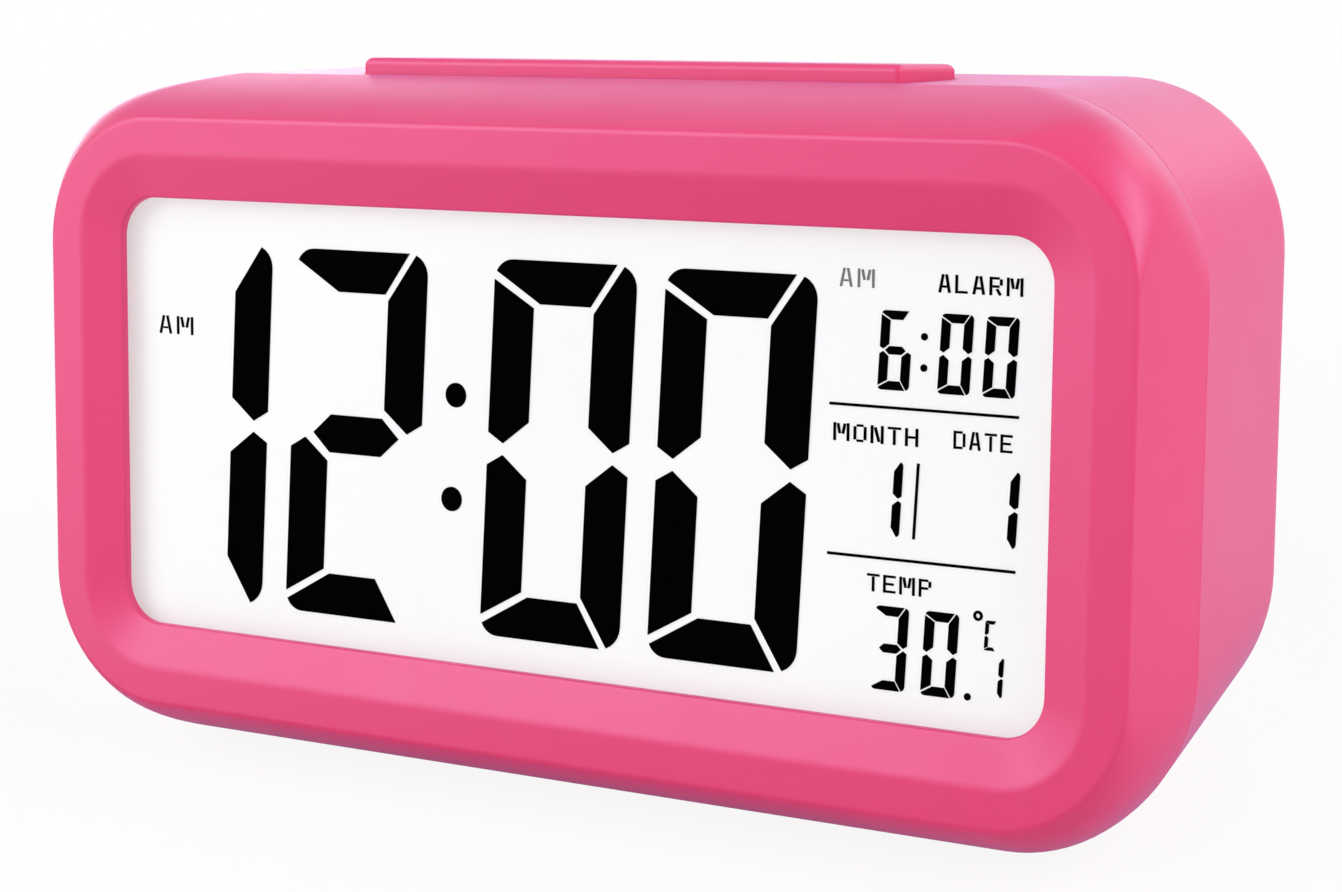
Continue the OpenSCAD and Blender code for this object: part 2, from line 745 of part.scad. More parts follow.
module rear_cuts() {
  block(about(0, bay_x), [bay_floor, back_y + over], bay_z);
  block(about(0, door_x + run_gap), [pocket_y, back_y + over],
        [door_z[0] - run_gap, door_z[1] + run_gap]);
  block(about(0, latch_w / 2 + run_gap), [back_y - latch_t - run_gap, back_y + over],
        [door_z[1], door_z[1] + latch_h + run_gap]);
  translate([-(door_x + pin_len + run_gap), pin_y, pin_z]) rotate([0, 90, 0])
    cylinder(r = pin_r + pin_gap, h = 2 * (door_x + pin_len + run_gap));
  for (tail = [[-1, cell_z[0]], [1, cell_z[2]]])
    block(about(tail[0] * (plate_x + contact_t / 2), contact_t / 2 + air),
          [bay_floor - bay_wall - over, bay_floor + over], about(tail[1], tail_w / 2 + air));
  for (x = button_x)
    rod([x, controls_z], button_r + run_gap, [inner_back - over, back_y + over]);
  block(about(knob_x, knob_slot_x), [inner_back - over, back_y + over],
        about(controls_z, knob_h / 2 + run_gap));
  rod(sounder_place, sound_hole_r, [inner_back - over, back_y + over]);
  for (i = [0:5])
    rod(sounder_place + sound_ring_r * [cos(60 * i), sin(60 * i)], sound_hole_r,
        [inner_back - over, back_y + over]);
  rod(sounder_place, sounder_r - sounder_ring_w, [sounder_y - over, inner_back]);
  for (sx = [-1, 1]) {
    rod([sx * case_screw_x, case_screw_z], screw_r + 2 * screw_gap, [front_d - over, screw_seat + over]);
    rod([sx * case_screw_x, case_screw_z], well_r, [screw_seat, back_y + over]);
    translate([sx * snooze_post_x, bar_mid, snooze_z[1] - over])
      cylinder(r = small_screw_r + screw_gap, h = snooze_pilot + over);
  }
  for (x = key_post_x)
    rod([x, key_post_z], small_screw_r + screw_gap, [key_y[1] - over, key_y[1] + key_pilot]);
  translate([0, 0, half_h - wall - over]) linear_extrude(2 * wall + top_rise)
    rounded(about(0, bar_x + run_gap), [bar_y[0] - run_gap, bar_y[1] + run_gap], bar_r + run_gap);
}

module rear_shell() {
  color(pink) stand()
  difference() {
    union() {
      skin_capped([for (g = rear_rings) ring_points(g)]);
      rear_bosses();
    }
    rear_cuts();
  }
}

module display_lens() {
  color(clear_tint) stand()
    panel(lens_y) rounded(about(0, lens_x), about(0, lens_z), window_r);
}

module lcd_panel() {
  color(white_tone) stand() {
    block(about(0, lcd_x), [lcd_front, lcd_back], lcd_z);
    block(about(0, ledge_x), [lcd_front, lcd_mid], [ledge_z, lcd_z[0] + sink]);
  }
}

module lcd_segments() {
  color(black_tone) stand()
  panel([lcd_front - segment_t, lcd_front]) {
    for (i = [0:3])
      number(big_values[i], [big_x[i], big_z], digit_h);
    for (z = colon_z)
      translate([colon_x + z * tan(digit_slant), z]) circle(colon_r);
    for (i = [0:2])
      number(alarm_values[i], [alarm_x[i], alarm_z], alarm_h);
    for (s = [-1, 1])
      translate([alarm_colon[0], alarm_z + s * alarm_colon[1]]) circle(small_dot_r);
    for (x = date_x)
      number(1, [x, date_z], date_h);
    polygon(slanted([for (p = [[0, -1], [1, -1], [1, 1], [0, 1]])
      [divider_x + p[0] * line_t, p[1] * date_h / 2 + date_z]]));
    for (i = [0:1])
      number(temp_values[i], [temp_x[i], temp_z], temp_h);
    translate(temp_dot) circle(small_dot_r);
    number(1, tenths, tenths_h);
    figure(letter_c, celsius, celsius_h);
    translate(degree) difference() {
      circle(degree_r);
      circle(degree_r - line_t);
    }
    for (z = line_z)
      translate([column_x - column_w, z - line_t / 2]) square([column_w, line_t]);
  }
}

module diffuser_sheet() {
  color(white_tone) stand()
    block(about(0, pocket_x - air), [lcd_back, guide_y[0]], [pocket_z[0] + air, pocket_z[1] - air]);
}

module light_guide() {
  color(clear_tint) stand()
    block(about(0, pocket_x - air), guide_y, [pocket_z[0] + air, win_z]);
}

module backlight_tray() {
  color("white") stand()
  difference() {
    union() {
      block(about(0, tray_x), [lcd_back, tray_back], tray_z);
      for (sx = [-1, 1], sz = [-1, 1]) {
        rod([sx * ear_x, sz * ear_z], ear_r, ear_y);
        block(sx > 0 ? [tray_x - sink, ear_x] : [-ear_x, sink - tray_x], ear_y, about(sz * ear_z, ear_r));
        rod([sx * post_x, sz * post_z], post_r, [tray_back - sink, main_y[0]]);
      }
    }
    block(about(0, pocket_x), [lcd_back - over, guide_y[1]], pocket_z);
    for (x = pin_spots)
      rod([x, led_z[1] - led_board_t / 2], led_pin_r + led_pin_gap, [guide_y[1] - over, tray_back + over]);
    for (sx = [-1, 1], sz = [-1, 1]) {
      rod([sx * ear_x, sz * ear_z], small_screw_r + screw_gap, [ear_y[0] - over, ear_y[1] + over]);
      rod([sx * post_x, sz * post_z], small_screw_r + screw_gap,
          [main_y[0] - board_pilot, main_y[0] + over]);
    }
  }
}

module led_board() {
  color(board_green) stand()
    block(about(0, led_x), [guide_y[0], guide_y[1] - air], led_z);
}

module backlight_leds() {
  color([1, 0.97, 0.75]) stand()
    for (x = led_spots)
      block(about(x, led_len / 2), [guide_y[0] + air, guide_y[1] - 2 * air], [win_z + air / 2, led_z[0]]);
}

module led_pins() {
  color(steel) stand()
    for (x = pin_spots)
      rod([x, led_z[1] - led_board_t / 2], led_pin_r, [guide_y[1] - air, main_y[0]]);
}

module zebra_strip() {
  color([0.35, 0.35, 0.37]) stand()
    block(about(0, zebra_x), [lcd_mid, main_y[0]], zebra_z);
}

module main_board() {
  color(board_green) stand()
  difference() {
    block(about(0, main_x), main_y, main_z);
    for (sx = [-1, 1], sz = [-1, 1])
      rod([sx * post_x, sz * post_z], small_screw_r + screw_gap, [main_y[0] - over, main_y[1] + over]);
  }
}

module controller_chip() {
  color(black_tone) stand()
  intersection() {
    translate([chip_place[0], main_y[1] + chip_rise - chip_sphere, chip_place[1]])
      rotate([-90, 0, 0]) sphere(chip_sphere, $fn = 180);
    block(about(chip_place[0], 2 * chip_r), [main_y[1], main_y[1] + 2 * chip_rise],
          about(chip_place[1], 2 * chip_r));
  }
}

module quartz_crystal() {
  color(steel) stand()
    translate([crystal_place[0], main_y[1] + crystal_r + screw_gap, crystal_place[1]])
      rotate([0, 90, 0]) cylinder(r = crystal_r, h = crystal_len);
}

module capacitors() {
  color([0.15, 0.18, 0.35]) stand()
    for (p = cap_places)
      rod(p, cap_r, [main_y[1], main_y[1] + cap_h]);
}

module chip_resistors() {
  color(black_tone) stand()
    for (p = resistor_places)
      block(about(p[0], resistor[0] / 2), [main_y[1], main_y[1] + resistor[1]],
            about(p[1], resistor[2] / 2));
}

module thermistor() {
  color([0.75, 0.45, 0.2]) stand() {
    translate([thermistor_place[0], main_y[1] + bead_rise, thermistor_place[1]])
      rotate([-90, 0, 0]) sphere(bead_r);
    for (s = [-1, 1])
      rod(thermistor_place + [s * bead_lead_x, 0], bead_lead_r, [main_y[1], main_y[1] + bead_rise]);
  }
}

module ribbon_sockets() {
  color(white_tone) stand() {
    block(about(0, socket_x), [main_y[1], main_y[1] + socket_h], about(ribbon_z[0], socket_t / 2));
    block(about(0, socket_x), [key_y[0] - socket_h, key_y[0]], about(ribbon_z[1], socket_t / 2));
  }
}

// Height of the ribbon's middle line at a share of its way from the main board to the key board
function ribbon_line(t) =
  let (ease = t * t * (3 - 2 * t))
  mix(ribbon_z[0], ribbon_z[1], ease) - ribbon_sag * 16 * t * t * (1 - t) * (1 - t);
ribbon_steps = 16;
module ribbon_cable() {
  y0 = main_y[1] + socket_h;
  y1 = key_y[0] - socket_h;
  upper = [for (i = [0:ribbon_steps]) let (t = i / ribbon_steps)
    [mix(y0, y1, t), ribbon_line(t) + ribbon_t / 2]];
  lower = [for (i = [ribbon_steps:-1:0]) let (t = i / ribbon_steps)
    [mix(y0, y1, t), ribbon_line(t) - ribbon_t / 2]];
  color([0.6, 0.6, 0.62]) stand()
    translate([-ribbon_w / 2, 0, 0]) rotate([90, 0, 90]) linear_extrude(ribbon_w)
      polygon(concat(upper, lower));
}

module key_board() {
  color(board_green) stand()
  difference() {
    block(about(0, key_x), key_y, key_z);
    for (x = key_post_x)
      rod([x, key_post_z], small_screw_r + screw_gap, [key_y[0] - over, key_y[1] + over]);
  }
}

// A push switch with its seat at the origin and its plunger hole upwards
module push_switch(travel) {
  bore_depth = plunger_len - plunger_rise + travel + bore_spare;
  difference() {
    block(about(0, switch_w / 2), about(0, switch_w / 2), [0, switch_h]);
    translate([0, 0, switch_h - bore_depth]) cylinder(r = plunger_r + plunger_gap, h = bore_depth + over);
  }
}

module key_switches() {
  color([0.25, 0.25, 0.27]) stand()
    for (x = button_x)
      translate([x, key_y[1], controls_z]) rotate([-90, 0, 0]) push_switch(button_travel);
}

module key_plunger(i) {
  color(black_tone) stand()
    rod([button_x[i], controls_z], plunger_r, [button_front - plunger_len, button_front]);
}

module rear_button(i) {
  color(pink) stand() {
    rod([button_x[i], controls_z], button_r, [flange_back - button_flange_t, back_y + button_rise]);
    rod([button_x[i], controls_z], button_r + button_flange, [flange_back - button_flange_t, flange_back]);
    rod([button_x[i], controls_z], stem_r, [button_front, flange_back]);
  }
}

module alarm_switch() {
  color(steel) stand()
  difference() {
    block(about(knob_x, alarm_switch_w / 2), [key_y[1], key_y[1] + switch_h],
          about(controls_z, alarm_switch_d / 2));
    block(about(knob_x, knob_travel / 2 + knob_stem[0] / 2 + run_gap),
          [key_y[1] + switch_h - knob_stem_in - run_gap, key_y[1] + switch_h + over],
          about(controls_z, knob_stem[1] / 2 + run_gap));
  }
}

module alarm_knob() {
  color(black_tone) stand() {
    block(about(knob_rest, knob_w / 2), [flange_back - sink, back_y + button_rise],
          about(controls_z, knob_h / 2));
    block(about(knob_rest, knob_plate[0] / 2), [flange_back - button_flange_t, flange_back],
          about(controls_z, knob_plate[1] / 2));
    block(about(knob_rest, knob_stem[0] / 2),
          [key_y[1] + switch_h - knob_stem_in, flange_back - button_flange_t + sink],
          about(controls_z, knob_stem[1] / 2));
  }
}

module snooze_bar() {
  color(pink) stand()
  difference() {
    union() {
      translate([0, 0, flange_z[0]]) linear_extrude(bar_top - bar_edge - flange_z[0])
        rounded(about(0, bar_x), bar_y, bar_r);
      hull()
        for (slice = [[bar_top - bar_edge - sink, 0], [bar_top - edge_slice, bar_edge]])
          translate([0, 0, slice[0]]) linear_extrude(edge_slice)
            rounded(about(0, bar_x - slice[1]), [bar_y[0] + slice[1], bar_y[1] - slice[1]], bar_r);
      translate([0, 0, flange_z[0]]) linear_extrude(flange_t)
        rounded(about(0, bar_x + bar_flange), [bar_y[0] - bar_flange, bar_y[1] + bar_flange],
                bar_r + bar_flange);
      translate([0, bar_mid, stem_z]) cylinder(r = stem_r, h = bar_top - bar_skin + sink - stem_z);
    }
    difference() {
      block(about(0, bar_x - bar_wall), [bar_y[0] + bar_wall, bar_y[1] - bar_wall],
            [flange_z[0] - over, bar_top - bar_skin]);
      translate([0, bar_mid, stem_z]) cylinder(r = stem_r, h = bar_top - stem_z);
    }
  }
}

module snooze_board() {
  color(board_green) stand()
  difference() {
    block(about(0, snooze_board_x), about(bar_mid, snooze_board_d / 2), snooze_z);
    for (sx = [-1, 1])
      translate([sx * snooze_post_x, bar_mid, snooze_z[0] - over])
        cylinder(r = small_screw_r + screw_gap, h = board_t + 2 * over);
  }
}

module snooze_switch() {
  color([0.25, 0.25, 0.27]) stand()
    translate([0, bar_mid, snooze_z[1]]) push_switch(bar_travel);
}

module snooze_plunger() {
  color(black_tone) stand()
    translate([0, bar_mid, stem_z - plunger_len]) cylinder(r = plunger_r, h = plunger_len);
}

module snooze_leads() {
  color(black_tone) stand()
    for (s = [-1, 1])
      wire(shifted(snooze_route, [s * lead_gap, 0, 0]));
}

module sounder_disc() {
  color(brass_tone) stand()
    rod(sounder_place, sounder_r, [sounder_y - sounder_t, sounder_y]);
}

module sounder_crystal() {
  color(white_tone) stand()
    rod(sounder_place, crystal_disc_r, [sounder_y - 2 * sounder_t, sounder_y - sounder_t]);
}

module sounder_leads() {
  color(black_tone) stand()
    for (s = [-1, 1])
      wire(shifted(sounder_route, [s * lead_gap, 0, 0]));
}

// A battery: side is -1 where its nub points left and 1 where it points right
module battery(i) {
  side = i % 2 == 0 ? -1 : 1;
  color([0.30, 0.33, 0.36]) stand()
    translate([side * plate_x, cell_y, cell_z[i]]) rotate([0, -side * 90, 0]) {
      cylinder(r = nub_r, h = nub_len + sink);
      translate([0, 0, nub_len]) cylinder(r = cell_r, h = cell_len - nub_len);
    }
}

module contact_plates() {
  color(steel) stand()
    for (p = [[-1, 0, 0, true], [1, 0, 1, false], [-1, 1, 2, false], [1, 2, 2, true]]) {
      x = p[0] > 0 ? [plate_x, bay_x] : [-bay_x, -plate_x];
      block(x, about(cell_y, contact_half), [cell_z[p[2]] - contact_half, cell_z[p[1]] + contact_half]);
      if (p[3])
        block(x, [tail_y, cell_y], about(cell_z[p[1]], tail_w / 2));
    }
}

// The spring's wire at a share u of its length: radius, height and turn of its middle line
function spring_place(u) =
  let (flat = spring_flat / spring_turns,
       rise = min(1, max(0, (u - flat) / (1 - 2 * flat))))
  [mix(spring_r[0], spring_r[1], rise),
   mix(spring_wire_r + spring_seat, spring_len - spring_wire_r - spring_seat, rise),
   360 * spring_turns * u];
function spring_ring(g) =
  [for (k = [0:spring_sides - 1])
    let (w = g[0] + spring_wire_r * cos(360 * k / spring_sides))
    [w * cos(g[2]), w * sin(g[2]), g[1] + spring_wire_r * sin(360 * k / spring_sides)]];
spring_count = spring_turns * spring_steps;
spring_line = [for (i = [0:spring_count]) spring_place(i / spring_count)];
module contact_spring() {
  skin_capped([for (g = spring_line) spring_ring(g)]);
}
spring_points = [for (g = spring_line) [g[0] * cos(g[2]), g[0] * sin(g[2]), g[1]]];
spring_gap = min([for (i = [0:spring_count], j = [0:spring_count]) if (j - i > spring_steps / 2)
  norm(spring_points[i] - spring_points[j]) - 2 * spring_wire_r]);
echo(str("Least gap of a contact spring to itself: ", spring_gap, " mm"));

module contact_springs() {
  color(steel) stand()
    for (i = [0:2]) {
      side = i % 2 == 0 ? 1 : -1;
      translate([side * plate_x, cell_y, cell_z[i]]) rotate([0, -side * 90, 0]) contact_spring();
    }
}

module battery_lead_red() {
  color([0.8, 0.08, 0.08]) stand() wire(red_route);
}

module battery_lead_black() {
  color(black_tone) stand() wire(black_route);
}

grip_spots = [-3, 0, 3];
grip_h = 0.3;
grip_t = 0.8;
grip_drop = 4;
module battery_door() {
  color(pink) stand() {
    block(about(0, door_x), door_y, [pin_z, door_z[1]]);
    block(about(0, latch_w / 2), [back_y - latch_t, back_y], [door_z[1] - sink, door_z[1] + latch_h]);
    translate([-door_x, pin_y, pin_z]) rotate([0, 90, 0]) cylinder(r = door_t / 2, h = 2 * door_x);
    translate([-door_x - pin_len, pin_y, pin_z]) rotate([0, 90, 0])
      cylinder(r = pin_r, h = 2 * (door_x + pin_len));
    for (dz = grip_spots)
      block(about(0, latch_w / 2), [back_y - sink, back_y + grip_h],
            about(door_z[1] - grip_drop + dz * grip_t / 2, grip_t / 2));
  }
}

module case_screws() {
  color(steel) stand()
    for (sx = [-1, 1])
      translate([sx * case_screw_x, screw_seat, case_screw_z]) rotate([-90, 0, 0])
        screw(screw_r, head_r, head_h, screw_grip + case_pilot - screw_short);
}

module tray_screws() {
  color(steel) stand()
    for (sx = [-1, 1], sz = [-1, 1])
      translate([sx * ear_x, ear_y[1], sz * ear_z]) rotate([-90, 0, 0])
        screw(small_screw_r, small_head_r, small_head_h, ear_t + ear_pilot - screw_short);
}

module board_screws() {
  color(steel) stand()
    for (sx = [-1, 1], sz = [-1, 1])
      translate([sx * post_x, main_y[1], sz * post_z]) rotate([-90, 0, 0])
        screw(small_screw_r, small_head_r, small_head_h, board_t + board_pilot - air);
}

module key_board_screws() {
  color(steel) stand()
    for (x = key_post_x)
      translate([x, key_y[0], key_post_z]) rotate([90, 0, 0])
        screw(small_screw_r, small_head_r, small_head_h, board_t + key_pilot - screw_short);
}

module snooze_board_screws() {
  color(steel) stand()
    for (sx = [-1, 1])
      translate([sx * snooze_post_x, bar_mid, snooze_z[0]]) rotate([180, 0, 0])
        screw(small_screw_r, small_head_r, small_head_h, board_t + snooze_pilot - screw_short);
}

front_shell();
rear_shell();
display_lens();
lcd_panel();
lcd_segments();
diffuser_sheet();
light_guide();
backlight_tray();
led_board();
backlight_leds();
led_pins();
zebra_strip();
main_board();
controller_chip();
quartz_crystal();
capacitors();
chip_resistors();
thermistor();
ribbon_sockets();
ribbon_cable();
key_board();
key_switches();
key_plunger(0);  // mode_plunger
key_plunger(1);  // set_plunger
key_plunger(2);  // up_plunger
key_plunger(3);  // down_plunger
rear_button(0);  // mode_button
rear_button(1);  // set_button
rear_button(2);  // up_button
rear_button(3);  // down_button
alarm_switch();
alarm_knob();
snooze_bar();
snooze_board();
snooze_switch();
snooze_plunger();
snooze_leads();
sounder_disc();
sounder_crystal();
sounder_leads();
battery(0);  // battery_top
battery(1);  // battery_middle
battery(2);  // battery_bottom
contact_plates();
contact_springs();
battery_lead_red();
battery_lead_black();
battery_door();
case_screws();
tray_screws();
board_screws();
key_board_screws();
snooze_board_screws();
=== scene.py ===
import json
import math

import bmesh
import bpy
from mathutils import Matrix, Vector


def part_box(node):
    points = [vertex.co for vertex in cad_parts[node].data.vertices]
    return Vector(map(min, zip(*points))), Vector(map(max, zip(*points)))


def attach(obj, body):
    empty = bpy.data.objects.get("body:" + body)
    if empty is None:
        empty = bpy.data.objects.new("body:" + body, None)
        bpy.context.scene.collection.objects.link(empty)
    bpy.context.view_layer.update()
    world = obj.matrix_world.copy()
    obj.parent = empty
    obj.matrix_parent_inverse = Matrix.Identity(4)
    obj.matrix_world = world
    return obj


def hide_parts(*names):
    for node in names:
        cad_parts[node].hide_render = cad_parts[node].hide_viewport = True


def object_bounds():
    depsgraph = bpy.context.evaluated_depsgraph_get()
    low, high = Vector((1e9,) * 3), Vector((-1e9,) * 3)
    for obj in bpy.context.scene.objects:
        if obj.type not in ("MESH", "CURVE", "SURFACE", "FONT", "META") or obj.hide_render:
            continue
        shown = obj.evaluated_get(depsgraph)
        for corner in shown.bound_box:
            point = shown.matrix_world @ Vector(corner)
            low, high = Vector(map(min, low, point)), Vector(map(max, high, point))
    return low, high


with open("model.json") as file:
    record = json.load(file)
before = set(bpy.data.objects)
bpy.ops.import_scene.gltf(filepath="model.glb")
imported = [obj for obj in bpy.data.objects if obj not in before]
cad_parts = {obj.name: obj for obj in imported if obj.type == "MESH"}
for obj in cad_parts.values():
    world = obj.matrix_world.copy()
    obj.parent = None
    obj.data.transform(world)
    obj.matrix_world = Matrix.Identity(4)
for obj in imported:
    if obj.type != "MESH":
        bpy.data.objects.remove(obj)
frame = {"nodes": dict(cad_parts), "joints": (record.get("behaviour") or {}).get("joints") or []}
cad_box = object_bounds()
nodes = frame["nodes"]

# The clock's own axes, in millimetres: x to the right, y from the window edge to the back, z up
MM = 0.001
LIP_D = 0.8
LENS_T = 1.2
press_axis = next(j["axis"] for j in frame["joints"] if j["name"] == "snooze_press")
LEAN = math.atan2(-press_axis[1], -press_axis[2])
TURN = Matrix.Rotation(-LEAN, 4, "X")
lens_low, lens_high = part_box("display_lens")
ORIGIN = (lens_low + lens_high) / 2 - TURN @ Vector((0, (LIP_D + LENS_T / 2) * MM, 0))
UPRIGHT = Matrix.Translation(ORIGIN) @ TURN @ Matrix.Scale(MM, 4)


def span(node):
    """Lowest and highest corner of a CAD node along the clock's own axes, in millimetres."""
    to_clock = UPRIGHT.inverted()
    points = [to_clock @ v.co for v in nodes[node].data.vertices]
    return [Vector([pick(p[i] for p in points) for i in range(3)]) for pick in (min, max)]


# Sizes of the case, as the solids have them
BODY_W, BODY_H, BODY_D = 135, 75, 45
BODY_R = 20
WALL = 2.2
FRONT_D = 11
SIDE_TAPER = 3.9
TOP_RISE = 0.9
CORNER_TAPER = 2.4
BACK_ROUND = 5
RUN_GAP = 0.2
SLOPE_W, SLOPE_D = 4.7, 1.5
RIM_SIDE, RIM_TOP = 4.4, 4.15
BEVEL_SIDE, BEVEL_TOP = 1.8, 4.8
RIM_R = 14.5
SHOULDER_D, SHOULDER_R, SHOULDER_LOW = 2.4, 7.5, 6
SHOULDER_SIDE, SHOULDER_TOP, SHOULDER_BASE = 1.2, 2.1, 1.5
WINDOW_R = 4.5
HALF_W, HALF_H = BODY_W / 2, BODY_H / 2
BACK_Y = BODY_D - SLOPE_D
INNER_BACK = BACK_Y - WALL
WIN_X = HALF_W - BEVEL_SIDE - RIM_SIDE - SLOPE_W
WIN_Z = HALF_H - BEVEL_TOP - RIM_TOP - SLOPE_W

# Softness of the rim's creases, as shares of the faces beside them
CREASE_IN, CREASE_OUT = 0.1, 0.1
EDGE_IN, EDGE_OUT = 0.12, 0.1
# Half width and depth of the groove where the two shells meet
PARTING_W, PARTING_IN = 0.1, 0.08

OVER = 0.1
SINK = 0.3
CHAMFER = 0.25
CORNER_STEPS = 20
BEND_STEPS = 12
CIRCLE_STEPS = 64
# Coarser steps for small rods and plates, and for the softened edges of the case
ROD_STEPS = 32
PLATE_STEPS = 6
KNOB_STEPS = 4
PLAN_STEPS = 8
LIP_STEPS, RIM_STEPS, BEVEL_STEPS, INNER_STEPS = 4, 8, 20, 6
SHARP = math.radians(32)
WELD = 1e-4


# Rings of the case: depth, half width, top, bottom, corner radius, extra radius of the lower corners
def wall_ring(y):
    t = (y - FRONT_D) / (BACK_Y - FRONT_D)
    base = -HALF_H + (y - FRONT_D) * math.tan(LEAN)
    return Vector((y, HALF_W - SIDE_TAPER * t, HALF_H + TOP_RISE * t, base, BODY_R - CORNER_TAPER * t, 0))


def inset(ring, d):
    return ring + Vector((0, -d, -d, d, -d, 0))


def at_depth(ring, y):
    return Vector((y, *ring[1:]))


def mix(a, b, t):
    return a + (b - a) * t


def bend(a, b, c, steps=BEND_STEPS):
    """Rings on a soft curve from a to c that leans towards b."""
    shares = [i / steps for i in range(steps + 1)]
    return [a * (1 - t) ** 2 + b * (2 * t * (1 - t)) + c * t ** 2 for t in shares]


def ring_points(ring, middle=(0, 0), steps=CORNER_STEPS):
    """Points of a ring, a rectangle with round corners, about a middle in x and z."""
    y, half, top, bottom, upper_r, extra = ring
    points = []
    for quarter in range(4):
        r = upper_r + (0 if quarter < 2 else extra)
        cx = (half - r) * (1 if quarter in (0, 3) else -1) + middle[0]
        cz = (top - r if quarter < 2 else bottom + r) + middle[1]
        for i in range(steps + 1):
            a = math.pi / 2 * (quarter + i / steps)
            points.append(Vector((cx + r * math.cos(a), y, cz + r * math.sin(a))))
    return points


def plate_ring(y, half_x, half_z, r):
    return Vector((y, half_x, half_z, -half_z, r, 0))


def circle(place, y, r, steps=CIRCLE_STEPS):
    """A ring of points about a place in x and z."""
    angles = [2 * math.pi * i / steps for i in range(steps)]
    return [Vector((place[0] + r * math.cos(a), y, place[1] + r * math.sin(a))) for a in angles]


def loft(bm, rows, loop=False):
    """A skin through rows of points, closed by flat ends or into a loop."""
    rows = [[bm.verts.new(p) for p in row] for row in rows]
    pairs = list(zip(rows, rows[1:]))
    if loop:
        pairs.append((rows[-1], rows[0]))
    for a, b in pairs:
        for k in range(len(a)):
            n = (k + 1) % len(a)
            bm.faces.new((a[k], b[k], b[n], a[n]))
    if not loop:
        bm.faces.new(rows[0])
        bm.faces.new(rows[-1])


def block(bm, low, high):
    loft(bm, [[Vector((x, y, z)) for x, z in ((low[0], low[2]), (high[0], low[2]),
                                              (high[0], high[2]), (low[0], high[2]))]
              for y in (low[1], high[1])])


def rod(bm, place, profile, steps=CIRCLE_STEPS):
    """A turned rod along the depth, through (depth, radius) pairs."""
    loft(bm, [circle(place, y, r, steps) for y, r in profile])


def solid(name, *builders):
    """A closed mesh in the clock's own axes, still in millimetres."""
    bm = bmesh.new()
    for build in builders:
        build(bm)
    bmesh.ops.remove_doubles(bm, verts=bm.verts, dist=WELD)
    bmesh.ops.recalc_face_normals(bm, faces=bm.faces)
    mesh = bpy.data.meshes.new(name)
    bm.to_mesh(mesh)
    bm.free()
    obj = bpy.data.objects.new(name, mesh)
    bpy.context.scene.collection.objects.link(obj)
    return obj


def carve(obj, *steps):
    """Adds and cuts solids in turn. A step is an operation and the builders of its solids."""
    tools = []
    for operation, *builders in steps:
        tool = solid("tool", *builders)
        cut = obj.modifiers.new("cut", "BOOLEAN")
        cut.operation = operation
        cut.solver = "EXACT"
        cut.object = tool
        tools.append(tool)
    bpy.context.view_layer.update()
    done = bpy.data.meshes.new_from_object(obj.evaluated_get(bpy.context.evaluated_depsgraph_get()))
    obj.modifiers.clear()
    obj.data = done
    for tool in tools:
        bpy.data.objects.remove(tool)
    return obj


def dress(obj, body, slot, material, *stands_for):
    """Stands a finished mesh up with the clock, shades it and hands it to its body."""
    obj.data.transform(UPRIGHT)
    bm = bmesh.new()
    bm.from_mesh(obj.data)
    for face in bm.faces:
        face.smooth = True
    for edge in bm.edges:
        edge.smooth = len(edge.link_faces) == 2 and edge.calc_face_angle(0) < SHARP
    bm.to_mesh(obj.data)
    bm.free()
    for look in material if isinstance(material, list) else [material]:
        obj.data.materials.append(look)
    weights = obj.modifiers.new("weights", "WEIGHTED_NORMAL")
    weights.keep_sharp = True
    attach(obj, body)
    if stands_for:
        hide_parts(*stands_for)
    return obj


# Materials
def linear(*channels):
    """A colour given as it looks on a screen, 0 to 255, as light."""
    shares = [c / 255 for c in channels]
    return [*((s / 12.92 if s <= 0.04045 else ((s + 0.055) / 1.055) ** 2.4) for s in shares), 1.0]


class Look:
    """A material under construction: a principled surface fed by patterns in the piece's own space."""

    def __init__(self, name, **sockets):
        self.material = bpy.data.materials.new(name)
        self.material.use_nodes = True
        self.tree = self.material.node_tree
        self.surface = self.tree.nodes["Principled BSDF"]
        self.place = self.tree.nodes.new("ShaderNodeTexCoord").outputs["Object"]
        for socket, value in sockets.items():
            self.surface.inputs[socket.replace("_", " ")].default_value = value

    def node(self, kind, links=(), **values):
        made = self.tree.nodes.new("ShaderNode" + kind)
        for socket, value in values.items():
            made.inputs[socket.replace("_", " ")].default_value = value
        for socket, source in links:
            self.tree.links.new(source, made.inputs[socket])
        return made

    def stretched(self, scale):
        return self.node("Mapping", [("Vector", self.place)], Scale=scale).outputs["Vector"]

    def noise(self, scale, detail=2.0, place=None):
        made = self.node("TexNoise", [("Vector", place or self.place)], Scale=scale, Detail=detail)
        return made.outputs["Fac"]

    def ranged(self, source, low, high, start=0.3, end=0.7):
        made = self.node("MapRange", [("Value", source)], From_Min=start, From_Max=end,
                         To_Min=low, To_Max=high)
        return made.outputs["Result"]

    def blend(self, factor, a, b):
        made = self.tree.nodes.new("ShaderNodeMix")
        made.data_type = "RGBA"
        self.tree.links.new(factor, made.inputs["Factor"])
        for socket, value in zip((made.inputs[6], made.inputs[7]), (a, b)):
            if isinstance(value, list):
                socket.default_value = value
            else:
                self.tree.links.new(value, socket)
        return made.outputs[2]

    def feed(self, socket, source):
        self.tree.links.new(source, self.surface.inputs[socket])
        return self

    def bump(self, height, depth, strength=1.0):
        made = self.node("Bump", [("Height", height)], Strength=strength, Distance=depth)
        return self.feed("Normal", made.outputs["Normal"])


def shade(color, factor):
    return [*(c * factor for c in color[:3]), 1.0]


